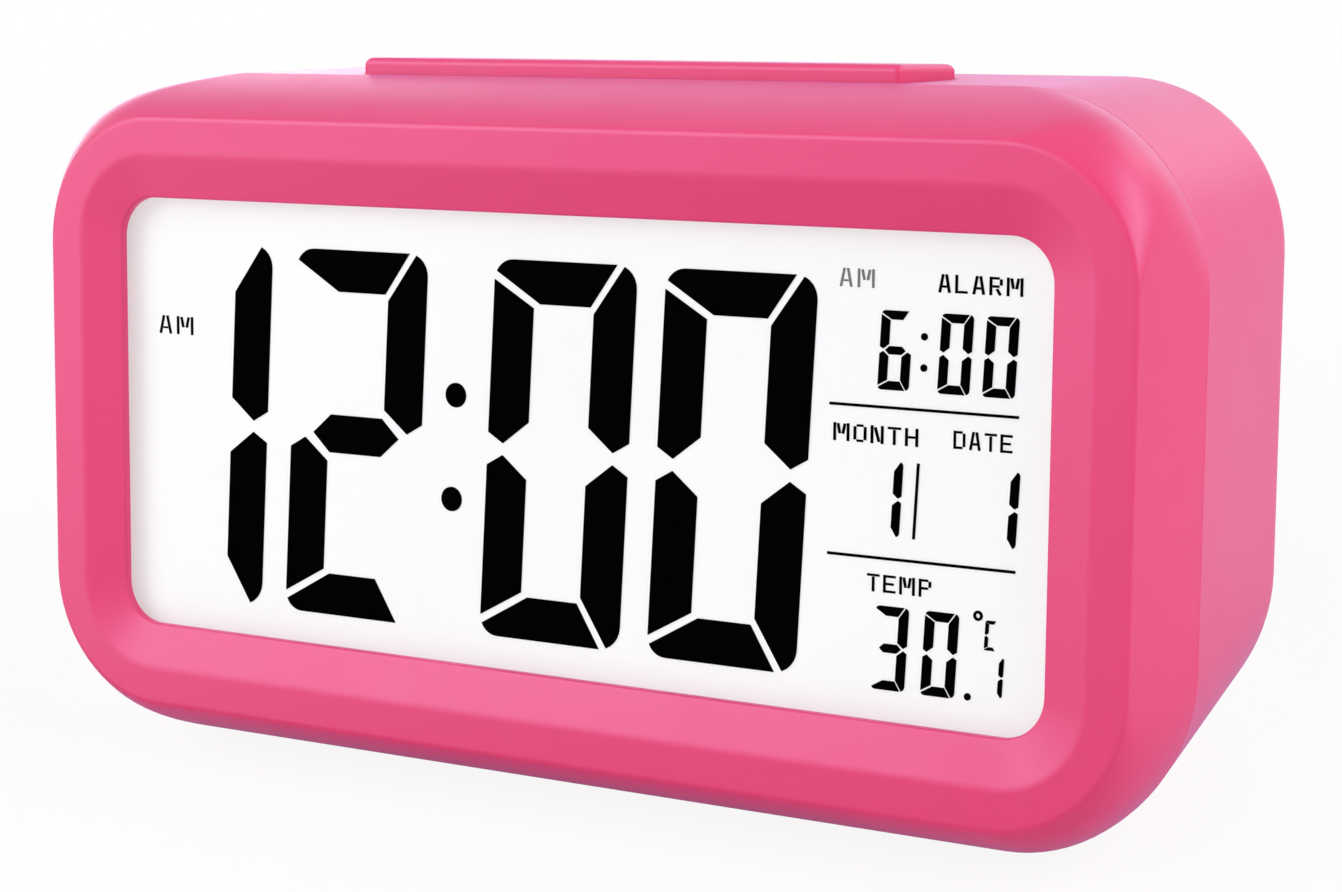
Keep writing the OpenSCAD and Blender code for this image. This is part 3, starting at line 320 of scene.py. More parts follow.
# Patterns per metre: slow drift of the colour, patches of gloss, specks of gloss, and the finest grain
DRIFT, PATCHES, SPECKS, FINEST = 45, 160, 300, 9000


def moulded(name, color, rough, spread=0.06, mottle=0.05, grain=7000, depth=4e-6, **sockets):
    """A surface with a fine grain, a little uneven in colour and gloss."""
    look = Look(name, **sockets)
    drift = look.noise(DRIFT, 3)
    look.feed("Base Color", look.blend(drift, shade(color, 1 - mottle), shade(color, 1 + mottle)))
    look.feed("Roughness", look.ranged(look.noise(PATCHES, 4), rough - spread, rough + spread))
    return look.bump(look.noise(grain), depth).material


def metal(name, color, rough, spread=(0.08, 0.1), brush=(60, 60, 4000), dark=0.86, light=1.06, depth=3e-6):
    """A plated or rolled metal with fine lines along one way."""
    look = Look(name, Metallic=1.0)
    lines = look.noise(1, 4, look.stretched(brush))
    look.feed("Base Color", look.blend(lines, shade(color, dark), shade(color, light)))
    look.feed("Roughness", look.ranged(lines, rough - spread[0], rough + spread[1]))
    return look.bump(lines, depth).material


def striped(name, color, other, scale, rough, spread=(0.05, 0.08), axis="X", depth=3e-5):
    """A surface with even stripes across one of its own axes."""
    look = Look(name)
    bands = look.node("TexWave", [("Vector", look.place)], Scale=scale, Distortion=0.2)
    bands.bands_direction = axis
    look.feed("Base Color", look.blend(bands.outputs["Fac"], color, other))
    look.feed("Roughness", look.ranged(look.noise(SPECKS, 3), rough - spread[0], rough + spread[1]))
    return look.bump(bands.outputs["Fac"], depth).material


def board(name, scale=170.0, width=0.016, specks=400, gloss=(0.28, 0.42), depth=2e-5):
    """Green solder mask over copper tracks."""
    look = Look(name)
    tracks = look.node("TexBrick", [("Vector", look.place)], Scale=scale, Mortar_Size=width)
    mask, track = linear(20, 92, 48), linear(46, 132, 78)
    look.feed("Base Color", look.blend(tracks.outputs["Fac"], mask, track))
    look.feed("Roughness", look.ranged(look.noise(specks, 3), *gloss))
    return look.bump(tracks.outputs["Fac"], depth).material


def display_white(patches=28, depth=1e-6):
    """The pale ground of the display, a little uneven. Its glow stands for the backlight, and is set strong
    over a greyer base, so that it also paints light into the shade of the window's lip.
    """
    look = Look("display_white", Roughness=0.35, Emission_Strength=0.55, Specular_IOR_Level=0.1)
    drift = look.noise(patches)
    look.feed("Base Color", look.blend(drift, linear(181, 182, 184), linear(187, 187, 188)))
    look.feed("Emission Color", look.blend(drift, linear(248, 248, 250), linear(255, 255, 255)))
    return look.bump(look.noise(FINEST), depth).material


def clear(name, tint, alpha, rough, spread=0.03, mottle=0.03, patches=60, specks=900, **sockets):
    """A clear moulding, thin enough to see straight through."""
    look = Look(name, Alpha=alpha, IOR=1.49, **sockets)
    look.feed("Base Color", look.blend(look.noise(patches), shade(tint, 1 - mottle), tint))
    look.feed("Roughness", look.ranged(look.noise(specks, 3), rough, rough + spread))
    return look.material


PINK = moulded("pink_abs", linear(228, 43, 103), 0.44, spread=0.015, mottle=0.01, Specular_IOR_Level=1.0,
               Specular_Tint=(0.42, 0.7, 1.0, 1.0), Sheen_Weight=0.25, Sheen_Roughness=0.4,
               Sheen_Tint=(0.2, 0.3, 1.0, 1.0))
DARK = moulded("dark_abs", linear(34, 34, 37), 0.42)
WHITE = moulded("white_abs", linear(236, 236, 233), 0.45)
INK = moulded("segment_ink", linear(3, 3, 4), 0.4, Specular_IOR_Level=0.0)
FAINT = moulded("faint_ink", linear(120, 122, 124), 0.4, mottle=0.2, Specular_IOR_Level=0.06)
CREAM = moulded("lamp_cream", linear(250, 240, 196), 0.25)
EPOXY = moulded("chip_epoxy", linear(22, 22, 25), 0.22, grain=900, depth=2e-5)
BLUE = moulded("capacitor_sleeve", linear(40, 52, 104), 0.25, grain=1500)
AMBER = moulded("bead_lacquer", linear(196, 120, 52), 0.2, grain=900)
CERAMIC = moulded("silvered_ceramic", linear(226, 224, 216), 0.35, grain=3000)
FILM = moulded("milky_film", linear(242, 242, 240), 0.5)
RED_SLEEVE = moulded("red_sleeve", linear(196, 26, 26), 0.4, grain=2500)
BLACK_SLEEVE = moulded("black_sleeve", linear(24, 24, 26), 0.4, grain=2500)
CELL = moulded("cell_sleeve", linear(52, 60, 74), 0.24, mottle=0.08, grain=2600)
CELL_BAND = moulded("cell_band", linear(176, 184, 192), 0.24, grain=2600)
NICKEL = metal("nickel", linear(206, 206, 208), 0.28)
BRASS = metal("brass_sheet", linear(214, 178, 96), 0.32)
RIBBON = striped("ribbon_sleeve", linear(150, 150, 154), linear(120, 120, 126), 250.0, 0.45)
ZEBRA = striped("layered_rubber", linear(66, 66, 70), linear(104, 104, 110), 800.0, 0.6)
BOARD = board("solder_mask")
DISPLAY = display_white()
LENS = clear("clear_acrylic", linear(14, 15, 16), 0.02, 0.05, Specular_IOR_Level=0.0)
GUIDE = clear("guide_acrylic", linear(240, 246, 246), 0.35, 0.08)

FINISHES = {
    DARK: ["key_switches", "snooze_switch", "mode_plunger", "set_plunger", "up_plunger", "down_plunger",
           "snooze_plunger"],
    LENS: ["display_lens"],
    DISPLAY: ["lcd_panel"],
    INK: ["lcd_segments"],
    FILM: ["diffuser_sheet"],
    GUIDE: ["light_guide"],
    WHITE: ["backlight_tray", "ribbon_sockets"],
    BOARD: ["led_board", "main_board", "key_board", "snooze_board"],
    CREAM: ["backlight_leds"],
    NICKEL: ["led_pins", "quartz_crystal", "alarm_switch", "contact_plates", "case_screws", "tray_screws",
             "board_screws", "key_board_screws", "snooze_board_screws"],
    ZEBRA: ["zebra_strip"],
    EPOXY: ["controller_chip", "chip_resistors"],
    BLUE: ["capacitors"],
    AMBER: ["thermistor"],
    RIBBON: ["ribbon_cable"],
    BRASS: ["sounder_disc"],
    CERAMIC: ["sounder_crystal"],
}
for finish, dressed in FINISHES.items():
    for name in dressed:
        nodes[name].data.materials.clear()
        nodes[name].data.materials.append(finish)


# Front shell
window_ring = plate_ring(0, WIN_X, WIN_Z, WINDOW_R)
slope_ring = at_depth(inset(window_ring, -SLOPE_W), -SLOPE_D)
rim_ring = plate_ring(-SLOPE_D, HALF_W - BEVEL_SIDE, HALF_H - BEVEL_TOP, RIM_R)
joint_ring = wall_ring(FRONT_D)
joint_inner = inset(joint_ring, WALL)
groove_ring = inset(joint_ring, PARTING_IN)
shoulder_ring = Vector((SHOULDER_D, HALF_W - SHOULDER_SIDE, HALF_H - SHOULDER_TOP, SHOULDER_BASE - HALF_H,
                        SHOULDER_R, SHOULDER_LOW))
face_ring = at_depth(inset(rim_ring, WALL), LIP_D)
LIP_ROUND = 0.25

BOSS_R = 2.4
EAR_Z = 14
TONGUE_X = 30
TONGUE_HALF = 5
TONGUE_ROOT, TONGUE_REACH = 6, 3
TONGUE_DROP, TONGUE_T = 1.2, 1.5
PILOT_R = 1.25
PILOT_D = 8
tray_high = span("backlight_tray")[1]
screw_low, screw_high = span("case_screws")
SCREW_X = screw_high[0] - (screw_high[2] - screw_low[2]) / 2
SCREW_Z = (screw_high[2] + screw_low[2]) / 2
EAR_R, EAR_T = 2.2, 2
BOARD_RISE = 1.5
EAR_X = tray_high[0] - EAR_R


def front_shell():
    rings = [at_depth(window_ring, LIP_D)]
    lip_end = mix(window_ring, slope_ring, LIP_ROUND / SLOPE_W)
    rings += bend(at_depth(window_ring, LIP_ROUND), window_ring, lip_end, LIP_STEPS)
    rings += bend(mix(slope_ring, window_ring, CREASE_IN), slope_ring, mix(slope_ring, rim_ring, CREASE_OUT))
    bevel_start = mix(rim_ring, shoulder_ring, EDGE_OUT)
    bevel_end = at_depth(joint_ring, FRONT_D - PARTING_W)
    rings += bend(mix(rim_ring, slope_ring, EDGE_IN), rim_ring, bevel_start, RIM_STEPS)
    rings += bend(bevel_start, shoulder_ring, bevel_end, BEVEL_STEPS)[1:]
    rings += [groove_ring, joint_inner, face_ring]
    shell = solid("front_moulding", lambda bm: loft(bm, [ring_points(g) for g in rings], loop=True))
    boss_start = LIP_D - SINK

    def bosses(bm):
        for sx in (-1, 1):
            rod(bm, (sx * SCREW_X, SCREW_Z), [(boss_start, BOSS_R), (FRONT_D, BOSS_R)], ROD_STEPS)
            for sz in (-1, 1):
                ear_end = tray_high[1] - BOARD_RISE - EAR_T
                rod(bm, (sx * EAR_X, sz * EAR_Z), [(boss_start, EAR_R), (ear_end, EAR_R)], ROD_STEPS)
            tongue_z = joint_inner[3] + TONGUE_DROP
            block(bm, (sx * TONGUE_X - TONGUE_HALF, FRONT_D - TONGUE_ROOT, tongue_z),
                  (sx * TONGUE_X + TONGUE_HALF, FRONT_D + TONGUE_REACH, tongue_z + TONGUE_T))

    def pilots(bm):
        for sx in (-1, 1):
            rod(bm, (sx * SCREW_X, SCREW_Z), [(FRONT_D - PILOT_D, PILOT_R), (FRONT_D + OVER, PILOT_R)],
                ROD_STEPS)

    carve(shell, ("UNION", bosses), ("DIFFERENCE", pilots))
    return dress(shell, "case", "pink_plastic", PINK, "front_shell")


front_shell()

# Rear shell
back_edge = wall_ring(BACK_Y)
inner_edge = inset(wall_ring(INNER_BACK), WALL)
DOOR_T = 1.6
PIN_LEN, PIN_R, PIN_GAP = 1.4, 0.65, 0.08
LATCH_W, LATCH_H, LATCH_T = 12, 1.4, 1
LATCH_ROOM, HINGE_ROOM = 1.2, 0.8
FRAME_SIDE, FRAME_EDGE, FRAME_T = 2.4, 2, 1.7
POCKET_R = 0.5
BAY_WALL = 1.5
AIR = 0.2
door_low, door_high = span("battery_door")
door_x = door_high[0] - PIN_LEN
door_z = (door_low[2], door_high[2] - LATCH_H)
door_y = BACK_Y - DOOR_T
pocket_y = door_y - RUN_GAP
pin_z = door_z[0] + DOOR_T / 2
pin_y = door_y + DOOR_T / 2
plates_low, plates_high = span("contact_plates")
bay_x = plates_high[0]
bay_z = (door_z[0] + HINGE_ROOM, door_z[1] - LATCH_ROOM)
bay_floor = span("battery_top")[0][1] - AIR

KEYS = {key: span(key + "_button") for key in ("mode", "set", "up", "down")}
key_places = {key: ((low[0] + high[0]) / 2, (low[2] + high[2]) / 2) for key, (low, high) in KEYS.items()}
KEY_FLANGE = 1.1
key_low, key_high = KEYS["mode"]
key_r = (key_high[0] - key_low[0]) / 2 - KEY_FLANGE
controls_z = key_places["mode"][1]
switch_low, switch_high = span("alarm_switch")
slot_x = (switch_low[0] + switch_high[0]) / 2
SLOT_HALF, SLOT_R = (3.3, 1.4), 0.4

bar_low, bar_high = span("snooze_bar")
BAR_FLANGE = 1.2
BAR_R = 0.7
bar_x = bar_high[0] - BAR_FLANGE
bar_y = (bar_low[1] + BAR_FLANGE, bar_high[1] - BAR_FLANGE)
bar_mid = (bar_y[0] + bar_y[1]) / 2
top_tilt = TOP_RISE / (BACK_Y - FRONT_D)

WELL_R, TUBE_R, SCREW_GRIP = 2.9, 3.8, 9
SCREW_PLAY = 0.05
SMALL_BOSS_R, SMALL_PILOT_R, SMALL_HEAD_R = 2.2, 1.05, 1.9
KEY_PILOT, SNOOZE_PILOT = 5, 6
key_screw_low, key_screw_high = span("key_board_screws")
key_posts = [(x, (key_screw_low[2] + key_screw_high[2]) / 2)
             for x in (key_screw_low[0] + SMALL_HEAD_R, key_screw_high[0] - SMALL_HEAD_R)]
key_board_back = span("key_board")[1][1]
snooze_post_x = span("snooze_board_screws")[1][0] - SMALL_HEAD_R
snooze_board_top = span("snooze_board")[1][2]
disc_low, disc_high = span("sounder_disc")
sounder = ((disc_low[0] + disc_high[0]) / 2, (disc_low[2] + disc_high[2]) / 2)
sounder_r = (disc_high[0] - disc_low[0]) / 2
SOUNDER_RING = 2
SOUND_HOLE_R, SOUND_RING_R, SOUND_HOLES = 1, 4.5, 6
TAIL_W, CONTACT_T = 3, 0.4


def upright_rod(bm, place, r, low, high, steps=ROD_STEPS):
    """A round post along the clock's height, at a place in x and y."""
    loft(bm, [[Vector((p[0], place[1] + p[2], z)) for p in circle((place[0], 0), 0, r, steps)]
              for z in (low, high)])


def side_rod(bm, place, profile, steps=CIRCLE_STEPS):
    """A turned rod along the clock's width, at a place in y and z, through (x, radius) pairs."""
    loft(bm, [[Vector((x, place[0] + p[0], place[1] + p[2])) for p in circle((0, 0), 0, r, steps)]
              for x, r in profile])


def plan_points(half_x, depths, r, z, tilt=0.0):
    """A rounded rectangle seen from above, at a height that may follow the case's tilted top."""
    middle = (depths[0] + depths[1]) / 2
    flat = ring_points(plate_ring(0, half_x, (depths[1] - depths[0]) / 2, r), steps=PLAN_STEPS)
    return [Vector((p[0], middle + p[2], z + tilt * (middle + p[2] - FRONT_D))) for p in flat]


def flared(r, start, chamfer):
    """Profile of a round cutter whose outer end opens into a chamfer at the back face."""
    return [(start, r), (BACK_Y - chamfer, r), (BACK_Y + OVER, r + chamfer + OVER)]


def flared_plate(bm, middle, half_x, half_z, r, start, chamfer):
    """A rounded plate cutter whose outer end opens into a chamfer at the back face."""
    rings = [plate_ring(y, half_x + g, half_z + g, r + g)
             for y, g in ((start, 0), (BACK_Y - chamfer, 0), (BACK_Y + OVER, chamfer + OVER))]
    loft(bm, [ring_points(g, middle, PLATE_STEPS) for g in rings])


def rear_bosses(bm):
    root = INNER_BACK + SINK
    block(bm, (-bay_x - BAY_WALL, bay_floor - BAY_WALL, bay_z[0] - BAY_WALL),
          (bay_x + BAY_WALL, root, bay_z[1] + BAY_WALL))
    for sx in (-1, 1):
        rod(bm, (sx * SCREW_X, SCREW_Z), [(FRONT_D, TUBE_R), (root, TUBE_R)])
        upright_rod(bm, (sx * snooze_post_x, bar_mid), SMALL_BOSS_R, snooze_board_top,
                    HALF_H - WALL + SINK + TOP_RISE / 2)
    for post in key_posts:
        rod(bm, post, [(key_board_back, SMALL_BOSS_R), (root, SMALL_BOSS_R)], ROD_STEPS)
    rod(bm, sounder, [(disc_high[1], sounder_r), (root, sounder_r)])


def door_frame(bm):
    block(bm, (-door_x - FRAME_SIDE, pocket_y - FRAME_T, door_z[0] - FRAME_EDGE),
          (door_x + FRAME_SIDE, INNER_BACK + SINK, door_z[1] + FRAME_EDGE))


def rear_openings(bm):
    start = INNER_BACK - OVER
    block(bm, (-bay_x, bay_floor, bay_z[0]), (bay_x, BACK_Y + OVER, bay_z[1]))
    for place in key_places.values():
        rod(bm, place, flared(key_r + RUN_GAP, start, CHAMFER))
    flared_plate(bm, (slot_x, controls_z), *SLOT_HALF, SLOT_R, start, CHAMFER)
    ring = circle(sounder, 0, SOUND_RING_R, SOUND_HOLES)
    spots = [sounder] + [(hole[0], hole[2]) for hole in ring]
    for spot in spots:
        rod(bm, spot, flared(SOUND_HOLE_R, start, CHAMFER), ROD_STEPS)
    for sx in (-1, 1):
        rod(bm, (sx * SCREW_X, SCREW_Z), flared(WELL_R, FRONT_D + SCREW_GRIP, CHAMFER))
        upright_rod(bm, (sx * snooze_post_x, bar_mid), SMALL_PILOT_R, snooze_board_top - OVER,
                    snooze_board_top + SNOOZE_PILOT)
    for post in key_posts:
        rod(bm, post, [(key_board_back - OVER, SMALL_PILOT_R), (key_board_back + KEY_PILOT, SMALL_PILOT_R)],
            ROD_STEPS)
    gap_y = (bar_y[0] - RUN_GAP, bar_y[1] + RUN_GAP)
    rows = [(HALF_H - WALL - OVER, 0), (HALF_H - CHAMFER, 0), (HALF_H + OVER, CHAMFER + OVER)]
    loft(bm, [plan_points(bar_x + RUN_GAP + g, (gap_y[0] - g, gap_y[1] + g), BAR_R + RUN_GAP + g, z, top_tilt)
              for z, g in rows])


def rear_pockets(bm):
    middle_z = (door_z[0] + door_z[1]) / 2
    flared_plate(bm, (0, middle_z), door_x + RUN_GAP, (door_z[1] - door_z[0]) / 2 + RUN_GAP, POCKET_R,
                 pocket_y, CHAMFER)
    seat_r = sounder_r - SOUNDER_RING
    rod(bm, sounder, [(disc_high[1] - OVER, seat_r), (INNER_BACK, seat_r)])
    hole_r = PILOT_R + SCREW_PLAY
    for sx in (-1, 1):
        rod(bm, (sx * SCREW_X, SCREW_Z), [(FRONT_D - OVER, hole_r), (FRONT_D + SCREW_GRIP + OVER, hole_r)],
            ROD_STEPS)
    for sx, cell in ((-1, "battery_top"), (1, "battery_bottom")):
        low, high = span(cell)
        middle = (sx * (bay_x - CONTACT_T / 2), (low[2] + high[2]) / 2)
        reach = (CONTACT_T / 2 + AIR, TAIL_W / 2 + AIR)
        block(bm, (middle[0] - reach[0], bay_floor - BAY_WALL - OVER, middle[1] - reach[1]),
              (middle[0] + reach[0], bay_floor + OVER, middle[1] + reach[1]))


def latch_and_bore(bm):
    latch_y = BACK_Y - LATCH_T - RUN_GAP
    block(bm, (-LATCH_W / 2 - RUN_GAP, latch_y, door_z[1]),
          (LATCH_W / 2 + RUN_GAP, BACK_Y + OVER, door_z[1] + LATCH_H + RUN_GAP))
    reach = door_x + PIN_LEN + RUN_GAP
    side_rod(bm, (pin_y, pin_z), [(-reach, PIN_R + PIN_GAP), (reach, PIN_R + PIN_GAP)], ROD_STEPS)


def rear_shell():
    rings = bend(inset(inner_edge, BACK_ROUND - WALL), inner_edge,
                 inset(wall_ring(BACK_Y - BACK_ROUND), WALL), INNER_STEPS)
    rings += [joint_inner, groove_ring, wall_ring(FRONT_D + PARTING_W)]
    rings += bend(wall_ring(BACK_Y - BACK_ROUND), back_edge, inset(back_edge, BACK_ROUND))
    shell = solid("rear_moulding", lambda bm: loft(bm, [ring_points(g) for g in rings]))
    carve(shell, ("UNION", rear_bosses), ("UNION", door_frame), ("DIFFERENCE", rear_openings),
          ("DIFFERENCE", rear_pockets), ("DIFFERENCE", latch_and_bore))
    return dress(shell, "case", "pink_plastic", PINK, "rear_shell")


rear_shell()

# Snooze bar
BAR_EDGE = 0.8
# The bar's corners tighten by this share of the way in as its upper edge rounds off
BAR_CORNER_SHARE = 1 / 6
BAR_SKIN, BAR_WALL = 1.5, 2
FLANGE_T = 1.2
STEM_R, STEM_LEN = 2.2, 2.7
flange_low = bar_low[2] + STEM_LEN


def quarter(r, steps=6):
    """Steps of a rounded edge: how far in and how far below the end each one lies."""
    angles = [math.pi / 2 * i / steps for i in range(steps + 1)]
    return [(r * (1 - math.cos(a)), r * (1 - math.sin(a))) for a in angles]


def snooze_bar():
    def plan(z, grow, r):
        return plan_points(bar_x + grow, (bar_y[0] - grow, bar_y[1] + grow), r, z)

    def outside(bm):
        rows = [plan(flange_low, BAR_FLANGE, BAR_R + BAR_FLANGE),
                plan(flange_low + FLANGE_T, BAR_FLANGE, BAR_R + BAR_FLANGE),
                plan(flange_low + FLANGE_T, 0, BAR_R)]
        rows += [plan(bar_high[2] - below, -within, BAR_R - within * BAR_CORNER_SHARE)
                 for within, below in quarter(BAR_EDGE)]
        loft(bm, rows)

    def hollow(bm):
        block(bm, (-bar_x + BAR_WALL, bar_y[0] + BAR_WALL, flange_low - OVER),
              (bar_x - BAR_WALL, bar_y[1] - BAR_WALL, bar_high[2] - BAR_SKIN))

    def stem(bm):
        upright_rod(bm, (0, bar_mid), STEM_R, bar_low[2], bar_high[2] - BAR_SKIN + SINK)

    bar = carve(solid("snooze_cap", outside), ("DIFFERENCE", hollow), ("UNION", stem))
    return dress(bar, "snooze", "pink_plastic", PINK, "snooze_bar")


snooze_bar()

# Rear keys, slightly dished for a fingertip
KEY_EDGE = 0.55
KEY_DISH = 0.3
KEY_STEM_R = 2.2
KEY_FLANGE_T = 1.2
DISH_STEPS = (0.15, 0.3, 0.45, 0.6, 0.75, 0.9, 0.97)


def key_cap(key):
    low, high = KEYS[key]
    flange_back = INNER_BACK - RUN_GAP
    flange_front = flange_back - KEY_FLANGE_T
    flat_r = key_r - KEY_EDGE
    profile = [(low[1], KEY_STEM_R), (flange_front, KEY_STEM_R), (flange_front, key_r + KEY_FLANGE),
               (flange_back, key_r + KEY_FLANGE), (flange_back, key_r)]
    profile += [(high[1] - below, key_r - within) for within, below in quarter(KEY_EDGE)]
    profile += [(high[1] - KEY_DISH * math.sin(math.pi / 2 * t) ** 2, flat_r * (1 - t))
                for t in DISH_STEPS]
    cap = solid(key + "_cap", lambda bm: rod(bm, key_places[key], profile))
    return dress(cap, key + "_key", "pink_plastic", PINK, key + "_button")


for key_name in KEYS:
    key_cap(key_name)

# Slider of the alarm switch, with three grip ridges
knob_low, knob_high = span("alarm_knob")
KNOB_HALF = (1.6, 1.2)
KNOB_STEM_HALF = (1, 0.9)
KNOB_EDGE = 0.3
KNOB_R, KNOB_TOP_R = 0.2, 0.31
RIDGE_H, RIDGE_PITCH, RIDGE_R = 0.35, 0.9, 0.324


def ridge(bm, ends, r, rise, base, steps=8):
    """A half round ridge that rises backwards from a depth, between two points in x and z."""
    a, b = (Vector((p[0], base, p[1])) for p in ends)
    across = Vector((0, 1, 0)).cross(b - a).normalized()
    angles = [math.pi * i / steps for i in range(steps + 1)]
    arch = [across * (r * math.cos(t)) + Vector((0, rise * math.sin(t), 0)) for t in angles]
    arch += [across * -r + Vector((0, -SINK, 0)), across * r + Vector((0, -SINK, 0))]
    loft(bm, [[p + offset for offset in arch] for p in (a, b)])


def alarm_slider():
    middle = ((knob_low[0] + knob_high[0]) / 2, controls_z)
    flange_back = INNER_BACK - RUN_GAP
    flange_front = flange_back - KEY_FLANGE_T
    plate_half = ((knob_high[0] - knob_low[0]) / 2, (knob_high[2] - knob_low[2]) / 2)
    top = knob_high[1] - RIDGE_H

    def body(bm):
        outline = [(knob_low[1], KNOB_STEM_HALF), (flange_front, KNOB_STEM_HALF), (flange_front, plate_half),
                   (flange_back, plate_half), (flange_back, KNOB_HALF)]
        rings = [plate_ring(y, *half, KNOB_R) for y, half in outline]
        rings += [plate_ring(top - below, KNOB_HALF[0] - within, KNOB_HALF[1] - within, KNOB_TOP_R)
                  for within, below in quarter(KNOB_EDGE)]
        loft(bm, [ring_points(g, middle, KNOB_STEPS) for g in rings])

    def ridges(bm):
        for i in (-1, 0, 1):
            x = middle[0] + i * RIDGE_PITCH
            half = KNOB_HALF[1] - KNOB_EDGE
            ridge(bm, ((x, controls_z - half), (x, controls_z + half)), RIDGE_R, RIDGE_H, top)

    knob = carve(solid("alarm_slider", body), ("UNION", ridges))
    return dress(knob, "alarm_slide", "dark_plastic", DARK, "alarm_knob")


alarm_slider()

# Battery door with its hinge barrel, pins, snap tab and grip ridges
DOOR_EDGE, DOOR_R = 0.35, 0.4
TAB_EDGE, TAB_R = 0.2, 0.3
PIN_TIP = 0.2
GRIP_DROP, GRIP_PITCH, GRIP_R, GRIP_H = 4, 1.2, 0.42, 0.3


def battery_door():
    middle_z = (pin_z + door_z[1]) / 2
    half_z = (door_z[1] - pin_z) / 2

    def panel(bm):
        rings = [plate_ring(door_y, door_x, half_z, DOOR_R)]
        rings += [plate_ring(BACK_Y - below, door_x - within, half_z - within, DOOR_R)
                  for within, below in quarter(DOOR_EDGE)]
        loft(bm, [ring_points(g, (0, middle_z), PLATE_STEPS) for g in rings])

    def barrel(bm):
        r = DOOR_T / 2
        side_rod(bm, (pin_y, pin_z), [(-door_x, r), (door_x, r)])

    def pins(bm):
        reach = door_x + PIN_LEN
        side_rod(bm, (pin_y, pin_z), [(-reach, PIN_R - PIN_TIP), (PIN_TIP - reach, PIN_R),
                                      (reach - PIN_TIP, PIN_R), (reach, PIN_R - PIN_TIP)], ROD_STEPS)

    def tab(bm):
        centre = (0, door_z[1] + (LATCH_H - SINK) / 2)
        half = (LATCH_W / 2, (LATCH_H + SINK) / 2)
        rings = [plate_ring(BACK_Y - LATCH_T, *half, TAB_R)]
        rings += [plate_ring(BACK_Y - below, half[0] - within, half[1] - within, TAB_R)
                  for within, below in quarter(TAB_EDGE)]
        loft(bm, [ring_points(g, centre, PLATE_STEPS) for g in rings])

    def grips(bm):
        for i in (-1, 0, 1):
            z = door_z[1] - GRIP_DROP + i * GRIP_PITCH
            ridge(bm, ((-LATCH_W / 2, z), (LATCH_W / 2, z)), GRIP_R, GRIP_H, BACK_Y)

    door = carve(solid("door_panel", panel), ("UNION", barrel), ("UNION", pins), ("UNION", tab),
                 ("UNION", grips))
    return dress(door, "door", "pink_plastic", PINK, "battery_door")


battery_door()

# Batteries: nub, crimped ends, printed sleeve with a plain pale band
NUB_R, NUB_LEN = 1.9, 0.8
NUB_EDGE, NUB_SLANT, NUB_STEPS = 0.35, 0.6, (0, 0.1, 0.2, 0.35)
SLEEVE_EDGE = 0.6
CELL_RIM_R = 4.2
CRIMP_D, CRIMP_SLANT = 0.25, 0.5
FOOT_SLANT, FOOT_R = 0.3, (3.4, 3.0)
RIM_PLAY = 0.1
BAND = (6, 15)


def battery(name, side):
    low, high = span("battery_" + name)
    place = ((low[1] + high[1]) / 2, (low[2] + high[2]) / 2)
    r = (high[1] - low[1]) / 2
    nub_end = high[0] if side > 0 else low[0]
    length = high[0] - low[0]
    shoulder = NUB_LEN + CRIMP_D
    profile = [(within * NUB_SLANT, NUB_R - NUB_EDGE + within) for within in NUB_STEPS]
    profile += [(shoulder, NUB_R), (shoulder, CELL_RIM_R - CRIMP_SLANT), (NUB_LEN, CELL_RIM_R)]
    profile += [(NUB_LEN + below, r - within) for within, below in reversed(quarter(SLEEVE_EDGE))]
    profile += [(BAND[0], r), (BAND[1], r), (length - SLEEVE_EDGE, r)]
    profile += [(length - below, r - within) for within, below in quarter(SLEEVE_EDGE)]
    profile += [(length, CELL_RIM_R), (length - CRIMP_D, CELL_RIM_R - FOOT_SLANT),
                (length - CRIMP_D, FOOT_R[0]), (length, FOOT_R[1])]
    rows = [(nub_end - side * along, radius) for along, radius in profile]
    cell = solid("cell_" + name, lambda bm: side_rod(bm, place, rows))
    for face in cell.data.polygons:
        along = abs(face.center[0] - nub_end)
        out = math.hypot(face.center[1] - place[0], face.center[2] - place[1])
        metal_end = out < CELL_RIM_R + RIM_PLAY
        face.material_index = 2 if metal_end else 1 if BAND[0] < along < BAND[1] else 0
    return dress(cell, "case", "battery_sleeve", [CELL, CELL_BAND, NICKEL], "battery_" + name)


for cell_name, nub_side in (("top", -1), ("middle", 1), ("bottom", -1)):
    battery(cell_name, nub_side)

# Coil springs of the battery contacts
SPRING_R = (3.6, 2.2)
SPRING_LEN, SPRING_TURNS, SPRING_FLAT = 6.7, 4, 0.25
SPRING_WIRE_R, SPRING_SEAT = 0.4, 0.05
SPRING_STEPS, SPRING_SIDES = 32, 10


def tube(bm, points, r, sides):
    """A round wire along a line of points."""
    rows = []
    up = Vector((1, 0, 0))
    for i, p in enumerate(points):
        way = (points[min(i + 1, len(points) - 1)] - points[max(i - 1, 0)]).normalized()
        side = way.cross(up).normalized()
        other = side.cross(way)
        rows.append([p + side * (r * math.cos(a)) + other * (r * math.sin(a))
                     for a in (2 * math.pi * k / sides for k in range(sides))])
    loft(bm, rows)


def coil(bm, seat, side):
    count = SPRING_TURNS * SPRING_STEPS
    flat = SPRING_FLAT / SPRING_TURNS
    points = []
    for i in range(count + 1):
        u = i / count
        rise = min(1, max(0, (u - flat) / (1 - 2 * flat)))
        r = SPRING_R[0] + (SPRING_R[1] - SPRING_R[0]) * rise
        low = SPRING_WIRE_R + SPRING_SEAT
        height = low + (SPRING_LEN - 2 * low) * rise
        a = 2 * math.pi * SPRING_TURNS * u
        points.append(seat + Vector((-side * height, r * math.sin(a) * side, r * math.cos(a))))
    tube(bm, points, SPRING_WIRE_R, SPRING_SIDES)


